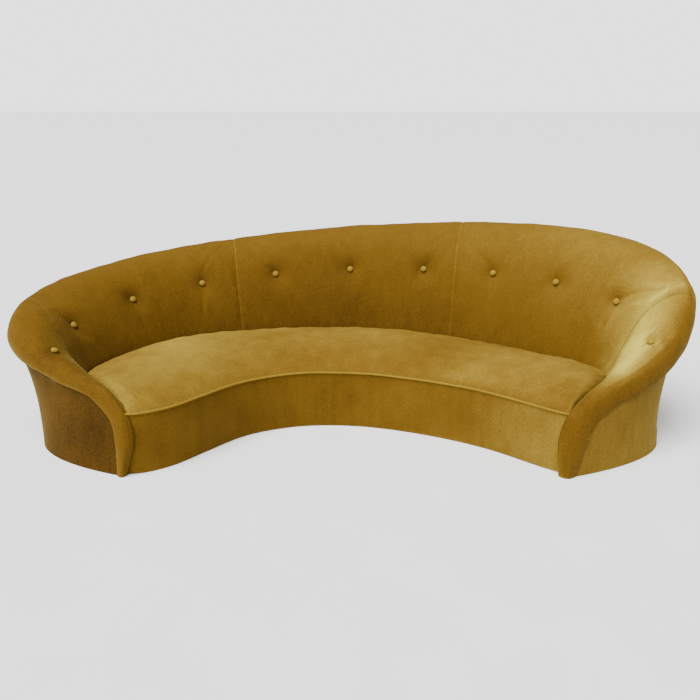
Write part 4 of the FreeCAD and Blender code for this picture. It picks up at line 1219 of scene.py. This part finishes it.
@dataclass
class Seat:
    """Tight seat, crowned and drawn down at the crease."""

    wall: WallLines
    front: FrontLine
    rows: int = 340
    columns: int = 80
    ends: tuple[float, float] = (-134.8, 135.8)
    end_points: tuple[float, float] = (-0.916, 0.918)
    front_height: float = 0.270
    crown: float = 0.062
    full_depth: float = 0.420
    cover: float = 0.002
    floor_level: float = 0.2388
    pad_clearance: float = 0.007
    front_inset: float = 0.007
    cloth: ClothRun = field(default_factory=lambda: ClothRun(pressure=3.0, limit=0.004))
    crease_fall: float = 0.020
    crease_reach: float = 0.012
    wrinkles: tuple[Wrinkle, ...] = (
        Wrinkle(0.345, 0.330, 0.030, 0.0055, 40.0, 0.0042),
        Wrinkle(0.405, 0.318, 0.026, 0.0050, 35.0, 0.0038),
        Wrinkle(1.000, -0.200, 0.018, 0.0050, 15.0, 0.0048),
        Wrinkle(0.905, -0.610, 0.040, 0.0050, 28.0, 0.0030),
        Wrinkle(0.912, -0.580, 0.036, 0.0048, 30.0, 0.0026),
    )

    def surface(self) -> tuple[np.ndarray, np.ndarray]:
        """Seat top from the front edge to the crease, and its lift in folds with painted shade down into
        the crease.
        """
        bearings = np.linspace(self.ends[0], self.ends[1], self.rows)
        keys = np.array([self.wall.key_at(bearing) for bearing in bearings])
        at = self.wall.anchors(keys)
        across = self.front.across_at(bearings)
        limit = self.front.seat_end
        past_left = share(-limit - bearings, -limit - self.ends[0])
        past_right = share(bearings - limit, self.ends[1] - limit)
        across += past_left * (self.end_points[0] - across) + past_right * (self.end_points[1] - across)
        start = self.front.points(across)
        start[:, 2] = self.front_height
        end = at["crease"] - at["out"] * 0.0005
        parts = np.linspace(0, 1, self.columns) ** 0.9
        span = np.linalg.norm((end - start)[:, :2], axis=1)
        crown = self.crown * share(span, self.full_depth)
        lift = crown[:, None] * (1 - (1 - 2 * parts[None, :]) ** 4)
        grid = start[:, None] + (end - start)[:, None] * parts[None, :, None]
        grid[..., 2] += lift
        away = np.linalg.norm(grid - grid[:, -1:], axis=2)
        edge = np.linalg.norm(grid - grid[:, :1], axis=2)
        inner = np.clip(np.minimum(away, edge) / 0.05, 0, 1)
        fold_and_painted_light = inner * (0.0010 * Unevenness(21, 0.15).at(grid) + 0.0026 * Unevenness(22, 0.55).at(grid))
        gathers = np.sin(np.linspace(0, 1, self.rows) * 2 * np.pi * 46)[:, None]
        fold_and_painted_light += 0.0003 * gathers * np.exp(-away / 0.05) * np.clip(away / 0.01, 0, 1)
        for wrinkle in self.wrinkles:
            fold_and_painted_light += wrinkle.at(grid)
        grid[..., 2] += fold_and_painted_light
        held = np.zeros(grid.shape[:2], bool)
        held[[0, -1]] = held[:, [0, -1]] = True
        grid += self.cloth.swell(grid, held)
        deepest = np.minimum(self.crease_fall, 0.5 * span + 0.004)[:, None]
        fall = deepest * np.exp(-((away / self.crease_reach) ** 1.3))
        grid[..., 2] -= fall
        # Painted shade: the fall into the crease darkens the cover.
        return grid, fold_and_painted_light - 0.6 * fall

    def pile_and_painted_light(self, grid: np.ndarray) -> np.ndarray:
        """Painted light, lightest at the left end and along the back, darker towards the front, with random
        patches.
        """
        left = share(-grid[..., 0] - 0.10, 0.80)
        parts = np.linspace(0, 1, grid.shape[1])[None, :]
        patches = Unevenness(23, 0.50).at(grid)
        return 0.35 + 0.40 * left + 0.36 * (share(parts, 0.55) - 0.75) + 0.06 * patches

    def build(self, finishes: Finishes) -> None:
        """Make the seat's cover and padding."""
        top, fold_and_painted_light = self.surface()
        out = normals_of(top)
        cover = shell("seat_top", top, top - out * self.cover, np.clip(fold_and_painted_light / 0.012, -1, 1), self.pile_and_painted_light(top))
        hand_over(cover, finishes.get("velvet"), "velvet", "seat_cover")
        under = (top - out * (self.cover + self.pad_clearance))[3:-3:3, 1:-3:3]
        under[:, 0] += unit(under[:, 1] - under[:, 0]) * self.front_inset
        base = under.copy()
        base[..., 2] = np.minimum(self.floor_level, under[..., 2] - 0.004)
        pad = shell("seat_wadding", under, base)
        hand_over(pad, finishes.get("wadding"), "padding", "seat_pad")


@dataclass
class FrontPanel:
    """Upright front below the piping, hollow in plan."""

    front: FrontLine
    reach: tuple[float, float] = (-0.940, 0.921)
    bottom: float = 0.003
    top: float = 0.2698
    columns: int = 34
    rows: int = 300
    cover: float = 0.002
    padding: float = 0.015
    pad_top: float = 0.2315
    pad_bottom: float = 0.014
    hem_fold: float = -0.548
    full_fold: float = 0.015

    def surface(self) -> tuple[np.ndarray, np.ndarray]:
        """Front face from its hem up to the piping, and its folds, which also give painted shade and
        painted highlight.
        """
        across = np.linspace(self.reach[0], self.reach[1], self.rows)
        line = self.front.points(across)
        rise = np.linspace(0, 1, self.columns)
        grid = np.repeat(line[:, None], self.columns, axis=1)
        grid[..., 2] = self.bottom + (self.top - self.bottom) * rise[None, :]
        swell = 0.0035 * np.sin(np.pi * np.clip(rise, 0, 1)) ** 0.7
        fold_and_painted_light = 0.0009 * Unevenness(31, 0.13).at(grid) + 0.0010 * Unevenness(32, 0.4).at(grid)
        fold_and_painted_light = fold_and_painted_light * np.sin(np.pi * rise)[None, :] ** 0.5
        crease = np.exp(-(((grid[..., 0] - self.hem_fold) / 0.0045) ** 2))
        crease = crease * share(0.075 - grid[..., 2], 0.03)
        fold_and_painted_light = fold_and_painted_light + 0.0022 * crease
        return grid + normals_of(grid) * (swell[None, :] + fold_and_painted_light)[..., None], fold_and_painted_light

    def pile_and_painted_light(self, grid: np.ndarray) -> np.ndarray:
        """Painted light, lighter to the right and darker in the middle, with upright pile streaks and
        random patches.
        """
        right = share(grid[..., 0] + 0.95, 1.85)
        x = grid[..., 0]
        streaks = np.cos(x * 61.0 + 1.3) * np.cos(x * 23.0) + 0.5 * np.cos(x * 140.0)
        middle = np.exp(-(((grid[..., 0] - 0.1) / 0.40) ** 2))
        patches = Unevenness(33, 0.30).at(grid)
        return -0.25 + 0.96 * right**4.5 - 0.12 * middle + 0.045 * streaks + 0.05 * patches

    def build(self, finishes: Finishes) -> None:
        """Make the front's cover and padding."""
        face, fold_and_painted_light = self.surface()
        out = normals_of(face)
        shade = np.clip(fold_and_painted_light / self.full_fold, -1, 1)
        cover = shell("front_panel", face, face - out * self.cover, shade, self.pile_and_painted_light(face))
        hand_over(cover, finishes.get("velvet"), "velvet", "apron_cover")
        across = np.linspace(self.reach[0], self.reach[1], 120)
        heights = np.linspace(self.pad_bottom, self.pad_top, 8)
        layers = []
        for inset in (self.cover + 0.0005, self.cover + 0.0005 + self.padding):
            line = self.front.points(across, inset)
            layer = np.repeat(line[:, None], len(heights), axis=1)
            layer[..., 2] = heights[None, :]
            layers.append(layer)
        pad = shell("front_wadding", layers[0], layers[1])
        hand_over(pad, finishes.get("wadding"), "padding", "apron_pad")


@dataclass
class OutsidePanels:
    """Three outside panels from the seam under the roll down to the floor."""

    wall: WallLines
    spacing: float = 0.010
    columns: int = 56
    cover: float = 0.002
    arm_seam: float = 92.0
    drop: float = 0.0005
    turn_rise: float = 0.9
    lap: float = 0.0018
    lining_room: float = 0.0014
    shoulder: float = 0.0045
    shoulder_at: float = -113.0
    shoulder_spread: float = 7.0
    shoulder_rows: float = 4.0
    end_gap: float = 0.02
    full_fold: float = 0.015
    turned_in: tuple[float, ...] = (0.009, 0.004)
    flare: float = 0.0045
    flare_height: float = 0.086
    flare_at: float = 98.0
    flare_spread: float = 14.0
    names: tuple[str, ...] = ("left_arm", "back", "right_arm")

    def surface(self, keys: np.ndarray) -> tuple[np.ndarray, np.ndarray]:
        """Outside surface from the seam to the hem, and its folds, which also give painted shade, darkest
        on the turned-in top rows.
        """
        grid = self.wall.panel(keys, np.linspace(0, 1, self.columns))
        grid[..., 2] += self.lap * (1 - np.linspace(0, 1, self.columns))[None, :] ** 8 - self.drop
        edges = np.sin(np.pi * np.linspace(0, 1, self.columns))[None, :] ** 0.5
        fold_and_painted_light = 0.0007 + 0.0007 * Unevenness(41, 0.22).at(grid) + 0.0009 * Unevenness(42, 0.7).at(grid)
        fold_and_painted_light = fold_and_painted_light * edges
        ends = np.minimum(
            np.linalg.norm(grid - grid[:1], axis=2), np.linalg.norm(grid - grid[-1:], axis=2)
        )
        fold_and_painted_light -= 0.0010 * np.exp(-ends / 0.008)
        flare = share(self.flare_height - grid[..., 2], 0.020)
        bearing = self.wall.read(keys, "bearing")[:, None]
        fold_and_painted_light += self.flare * flare * np.exp(-(((bearing - self.flare_at) / self.flare_spread) ** 2))
        near_top = np.exp(-((np.arange(self.columns) / self.shoulder_rows) ** 2))[None, :]
        beside = np.exp(-(((bearing - self.shoulder_at) / self.shoulder_spread) ** 2))
        shoulder = self.shoulder * near_top * beside
        skin = grid + normals_of(grid) * (fold_and_painted_light + self.lining_room + shoulder)[..., None]
        inward = -self.wall.anchors(keys)["out"]
        small = np.minimum(1.0, np.linalg.norm(skin[:, 0] - skin[:, -1], axis=1) / 0.08)[:, None]
        inward[:, 2] += self.turn_rise
        high = [skin[:, 0] + inward * (depth * small) for depth in self.turned_in]
        # Painted shadow: the turned-in rows under the roll are darkened.
        fold_and_painted_light = np.pad(fold_and_painted_light, ((0, 0), (len(high), 0)), constant_values=-self.full_fold)
        return np.concatenate([np.stack(high, 1), skin], axis=1), fold_and_painted_light

    def pile_and_painted_light(self, grid: np.ndarray) -> np.ndarray:
        """Painted light: dark on the left arm, light on the right one, with random patches."""
        side = np.clip(grid[..., 0] / 0.9, -1, 1)
        return -0.20 + np.where(side < 0, 0.78, 0.52) * side + 0.05 * Unevenness(43, 0.35).at(grid)

    def build(self, finishes: Finishes) -> None:
        """Make the three outside panels."""
        seams = [self.wall.key_at(-self.arm_seam), self.wall.key_at(self.arm_seam)]
        marks = [self.wall.keys[0], *seams, self.wall.keys[-1]]
        for name, first, last in zip(self.names, marks, marks[1:]):
            keys = self.wall.spread(first + self.end_gap, last - self.end_gap, self.spacing)
            face, fold_and_painted_light = self.surface(keys)
            back = face - normals_of(face) * self.cover
            shade = np.clip(fold_and_painted_light / self.full_fold, -1, 1)
            cover = shell(f"{name}_outside_panel", face, back, shade, self.pile_and_painted_light(face))
            hand_over(cover, finishes.get("velvet"), "velvet", f"{name}_outside_cover")


class GeometryDesk:
    """A Geometry Nodes tree under construction."""

    def __init__(self, name: str) -> None:
        """Start a tree with a geometry input and output."""
        self.tree = bpy.data.node_groups.new(name, "GeometryNodeTree")
        self.tree.interface.new_socket("Geometry", in_out="INPUT", socket_type="NodeSocketGeometry")
        self.tree.interface.new_socket("Geometry", in_out="OUTPUT", socket_type="NodeSocketGeometry")
        self.entry = self.tree.nodes.new("NodeGroupInput")
        self.exit = self.tree.nodes.new("NodeGroupOutput")

    def size(self, name: str, kind: str = "NodeSocketFloat") -> None:
        """Add a named input for a size."""
        self.tree.interface.new_socket(name, in_out="INPUT", socket_type=kind)

    def node(
        self,
        kind: str,
        settings: dict[str, object] | None = None,
        inputs: dict[str | int, object] | None = None,
    ) -> bpy.types.Node:
        """Make a node with its settings, and values or links for its inputs."""
        made = self.tree.nodes.new(kind)
        for name, value in (settings or {}).items():
            setattr(made, name, value)
        for name, value in (inputs or {}).items():
            if isinstance(value, bpy.types.NodeSocket):
                self.tree.links.new(value, made.inputs[name])
            else:
                made.inputs[name].default_value = value
        return made

    def close(self, geometry: bpy.types.NodeSocket, finish: bpy.types.Material) -> bpy.types.NodeTree:
        """End the tree with real geometry and its finish."""
        real = self.node("GeometryNodeRealizeInstances", {}, {"Geometry": geometry})
        inputs = {"Geometry": real.outputs[0], "Material": finish}
        dressed = self.node("GeometryNodeSetMaterial", {}, inputs)
        self.tree.links.new(dressed.outputs[0], self.exit.inputs[0])
        return self.tree


def grown(
    name: str, seed_mesh: bpy.types.Mesh, tree: bpy.types.NodeTree, sizes: dict[str, object]
) -> bpy.types.Object:
    """Run a tree over a mesh and keep the result as a plain mesh.

    Args:
        name: Name of the new piece.
        seed_mesh: The points or line that the tree starts from.
        tree: The Geometry Nodes tree.
        sizes: Values of its named inputs.

    Returns:
        The new piece, at the origin and without modifiers.
    """
    seed = bpy.data.objects.new(f"{name}_seed", seed_mesh)
    bpy.context.scene.collection.objects.link(seed)
    modifier = seed.modifiers.new("grow", "NODES")
    modifier.node_group = tree
    for item in tree.interface.items_tree:
        if item.in_out == "INPUT" and item.name in sizes:
            modifier[item.identifier] = sizes[item.name]
    bpy.context.view_layer.update()
    evaluated = seed.evaluated_get(bpy.context.evaluated_depsgraph_get())
    mesh = bpy.data.meshes.new_from_object(evaluated)
    mesh.name = name
    bpy.data.objects.remove(seed)
    piece = bpy.data.objects.new(name, mesh)
    bpy.context.scene.collection.objects.link(piece)
    return piece


@dataclass
class Piping:
    """Covered cord along the seat's front edge."""

    front: FrontLine
    radius: float = 0.0045
    height: float = 0.276
    reach: tuple[float, float] = (-0.940, 0.921)
    points: int = 260

    def tree(self, finish: bpy.types.Material) -> bpy.types.NodeTree:
        """Tube along a line, a little uneven."""
        desk = GeometryDesk("piping_tube")
        desk.size("Radius")
        line = desk.node("GeometryNodeMeshToCurve", {}, {0: desk.entry.outputs["Geometry"]})
        inputs = {"Resolution": 14, "Radius": desk.entry.outputs["Radius"]}
        ring = desk.node("GeometryNodeCurvePrimitiveCircle", {}, inputs)
        inputs = {"Curve": line.outputs[0], "Profile Curve": ring.outputs[0], "Fill Caps": True}
        tube = desk.node("GeometryNodeCurveToMesh", {}, inputs)
        smooth = desk.node("GeometryNodeSetShadeSmooth", {}, {0: tube.outputs[0]})
        return desk.close(smooth.outputs[0], finish)

    def build(self, finishes: Finishes) -> None:
        """Make the piping."""
        across = np.linspace(self.reach[0], self.reach[1], self.points)
        line = self.front.points(across, -self.radius - 0.0003)
        line[:, 2] = self.height + 0.0006 * Unevenness(51, 0.25).at(line)
        mesh = bpy.data.meshes.new("piping_line")
        mesh.from_pydata(line.tolist(), [(i, i + 1) for i in range(self.points - 1)], [])
        finish = finishes.get("piping")
        piece = grown("seat_piping_cord", mesh, self.tree(finish), {"Radius": self.radius})
        hand_over(piece, finish, "piping_velvet", "seat_piping")


@dataclass
class CoveredButtons:
    """Velvet-covered buttons, one at the bottom of each tuft."""

    places: list[ButtonPlace]
    radius: float = 0.015
    height: float = 0.010
    sunk: float = 0.0085
    spokes: int = 32
    rings: int = 9
    pleats: int = 9

    def dome(self) -> bpy.types.Mesh:
        """One button with its cloth gathered at the rim, facing +Z."""
        points = [(0.0, 0.0, self.height)]
        for ring in range(1, self.rings + 1):
            turn = math.pi / 2 * ring / self.rings
            for spoke in range(self.spokes):
                angle = 2 * math.pi * spoke / self.spokes
                gather = 1 + 0.018 * math.cos(self.pleats * angle) * (ring / self.rings) ** 3
                reach = self.radius * math.sin(turn) * gather
                height = self.height * (0.22 + 0.78 * math.cos(turn) ** 0.9)
                points.append((reach * math.cos(angle), reach * math.sin(angle), height))
        last = 1 + (self.rings - 1) * self.spokes
        for spoke in range(self.spokes):
            x, y, _ = points[last + spoke]
            points.append((x * 0.9, y * 0.9, -0.004))
        points.append((0.0, 0.0, -0.004))
        faces = [(0, 1 + s, 1 + (s + 1) % self.spokes) for s in range(self.spokes)]
        for ring in range(self.rings):
            low = 1 + ring * self.spokes
            for s in range(self.spokes):
                following = (s + 1) % self.spokes
                high = low + self.spokes
                faces.append((low + s, high + s, high + following, low + following))
        low = 1 + self.rings * self.spokes
        faces += [(low + (s + 1) % self.spokes, low + s, len(points) - 1) for s in range(self.spokes)]
        mesh = bpy.data.meshes.new("button_dome")
        mesh.from_pydata(points, [], faces)
        mesh.polygons.foreach_set("use_smooth", np.ones(len(faces), bool))
        return mesh

    def tree(self, finish: bpy.types.Material, dome: bpy.types.Object) -> bpy.types.NodeTree:
        """A dome on each point, turned to its facing."""
        desk = GeometryDesk("button_row")
        desk.size("Scale")
        pattern = desk.node("GeometryNodeObjectInfo", {}, {"Object": dome})
        settings = {"data_type": "FLOAT_VECTOR"}
        facing = desk.node("GeometryNodeInputNamedAttribute", settings, {"Name": "facing"})
        turn = desk.node("FunctionNodeAlignRotationToVector", {"axis": "Z"}, {"Vector": facing.outputs[0]})
        cloud = desk.node("GeometryNodeMeshToPoints", {}, {0: desk.entry.outputs["Geometry"]})
        placed = desk.node("GeometryNodeInstanceOnPoints", {}, {
            "Points": cloud.outputs[0],
            "Instance": pattern.outputs["Geometry"],
            "Rotation": turn.outputs[0],
            "Scale": desk.entry.outputs["Scale"],
        })
        return desk.close(placed.outputs[0], finish)

    def build(self, finishes: Finishes) -> None:
        """Make the buttons."""
        spots = [place.point - place.out * self.sunk for place in self.places]
        mesh = bpy.data.meshes.new("button_spots")
        mesh.from_pydata([tuple(spot) for spot in spots], [], [])
        layer = mesh.attributes.new("facing", "FLOAT_VECTOR", "POINT")
        layer.data.foreach_set("vector", np.array([place.out for place in self.places], np.float32).ravel())
        dome = bpy.data.objects.new("button_pattern", self.dome())
        finish = finishes.get("button")
        piece = grown("covered_buttons", mesh, self.tree(finish, dome), {"Scale": 1.0})
        bpy.data.objects.remove(dome)
        hand_over(piece, finish, "button_velvet", "buttons")


@dataclass
class HiddenFrame:
    """The CAD nodes inside the covers, each given its real finish."""

    finish_of: tuple[tuple[str, str], ...] = (
        ("back_rib", "upright_plywood"),
        ("arm_board", "upright_plywood"),
        ("base_ring", "plywood"),
        ("ledge", "plywood"),
        ("hessian", "hessian"),
        ("apron_lining", "hessian"),
        ("deck_cloth", "hessian"),
        ("straps", "jute"),
        ("ties", "twine"),
        ("toggles", "toggle"),
        ("lining", "felt"),
        ("dust_cover", "dust_cloth"),
        ("springs", "spring_steel"),
        ("screws", "spring_steel"),
        ("clips", "clip_steel"),
        ("glides", "glide"),
    )

    def build(self, finishes: Finishes) -> None:
        """Dress every CAD node that no new piece stands for."""
        for name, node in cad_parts.items():
            kind = next((finish for words, finish in self.finish_of if words in name), "beech")
            if name.endswith(("_cover", "_pad")) and name != "dust_cover":
                kind = "velvet" if name.endswith("_cover") else "wadding"
            node.data.materials.clear()
            node.data.materials.append(finishes.get(kind))
            log.info("%s: %s", name, kind)


@dataclass
class Studio:
    """Pale floor, soft light and the camera."""

    camera_place: tuple[float, float, float] = (0.011, -3.781, 1.553)
    camera_tilt: float = 72.0
    lens: float = 41.14
    floor_half: float = 60.0
    key_from: tuple[float, float, float] = (-1.6, -2.4, 5.0)
    key_power: float = 8.4
    key_spread: float = 45.0
    fill_power: float = 0.42
    backdrop: float = 2.45

    def floor(self) -> None:
        """Lay the floor."""
        half = self.floor_half
        mesh = bpy.data.meshes.new("studio_floor")
        corners = [(-half, -half, 0), (half, -half, 0), (half, half, 0), (-half, half, 0)]
        mesh.from_pydata(corners, [], [(0, 1, 2, 3)])
        floor = bpy.data.objects.new("studio_floor", mesh)
        bpy.context.scene.collection.objects.link(floor)
        bench = Bench("pale_floor")
        speck = bench.noise(bench.place(), 3.0, 2.0, 0.5)
        colour = bench.blend(bench.ramp(speck, 0.2, 0.8), (0.80, 0.80, 0.80, 1), (0.83, 0.83, 0.83, 1))
        mesh.materials.append(bench.finish({"Base Color": colour, "Roughness": 0.75}))

    def lamp(self) -> None:
        """Hang the broad soft key light, high on the left in front."""
        data = bpy.data.lights.new("key_light", "SUN")
        data.energy = self.key_power
        data.angle = math.radians(self.key_spread)
        lamp = bpy.data.objects.new("key_light", data)
        lamp.location = self.key_from
        lamp.rotation_euler = Vector(self.key_from).to_track_quat("Z", "Y").to_euler()
        bpy.context.scene.collection.objects.link(lamp)

    def surroundings(self) -> None:
        """Light the room evenly, and show it as pale as the floor."""
        world = bpy.data.worlds.new("studio_world")
        world.use_nodes = True
        tree = world.node_tree
        fill = tree.nodes["Background"]
        fill.inputs["Color"].default_value = (1.0, 1.0, 1.0, 1.0)
        fill.inputs["Strength"].default_value = self.fill_power
        seen = tree.nodes.new("ShaderNodeBackground")
        seen.inputs["Color"].default_value = (1.0, 1.0, 1.0, 1.0)
        seen.inputs["Strength"].default_value = self.backdrop
        path = tree.nodes.new("ShaderNodeLightPath")
        either = tree.nodes.new("ShaderNodeMixShader")
        tree.links.new(path.outputs["Is Camera Ray"], either.inputs[0])
        tree.links.new(fill.outputs[0], either.inputs[1])
        tree.links.new(seen.outputs[0], either.inputs[2])
        tree.links.new(either.outputs[0], tree.nodes["World Output"].inputs["Surface"])
        bpy.context.scene.world = world

    def camera(self) -> None:
        """Stand the camera at the photograph's viewing angle."""
        data = bpy.data.cameras.new("camera")
        data.lens = self.lens
        data.sensor_width = 36.0
        data.clip_end = 200.0
        camera = bpy.data.objects.new("camera", data)
        camera.location = self.camera_place
        camera.rotation_euler = (math.radians(self.camera_tilt), 0.0, 0.0)
        bpy.context.scene.collection.objects.link(camera)
        bpy.context.scene.camera = camera

    def build(self) -> None:
        """Set up the whole studio."""
        self.camera()
        self.floor()
        self.lamp()
        self.surroundings()


def main() -> None:
    """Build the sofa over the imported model."""
    logging.basicConfig(level=logging.INFO, format="%(name)s %(message)s")
    Studio().build()
    wall = WallLines()
    front = FrontLine()
    finishes = Finishes()
    places = button_places(wall)
    HiddenFrame().build(finishes)
    InsideBack(wall, places).build(finishes)
    Seat(wall, front).build(finishes)
    FrontPanel(front).build(finishes)
    OutsidePanels(wall).build(finishes)
    Piping(front).build(finishes)
    CoveredButtons(places).build(finishes)
    bpy.context.view_layer.update()


if __name__ == "__main__":
    main()
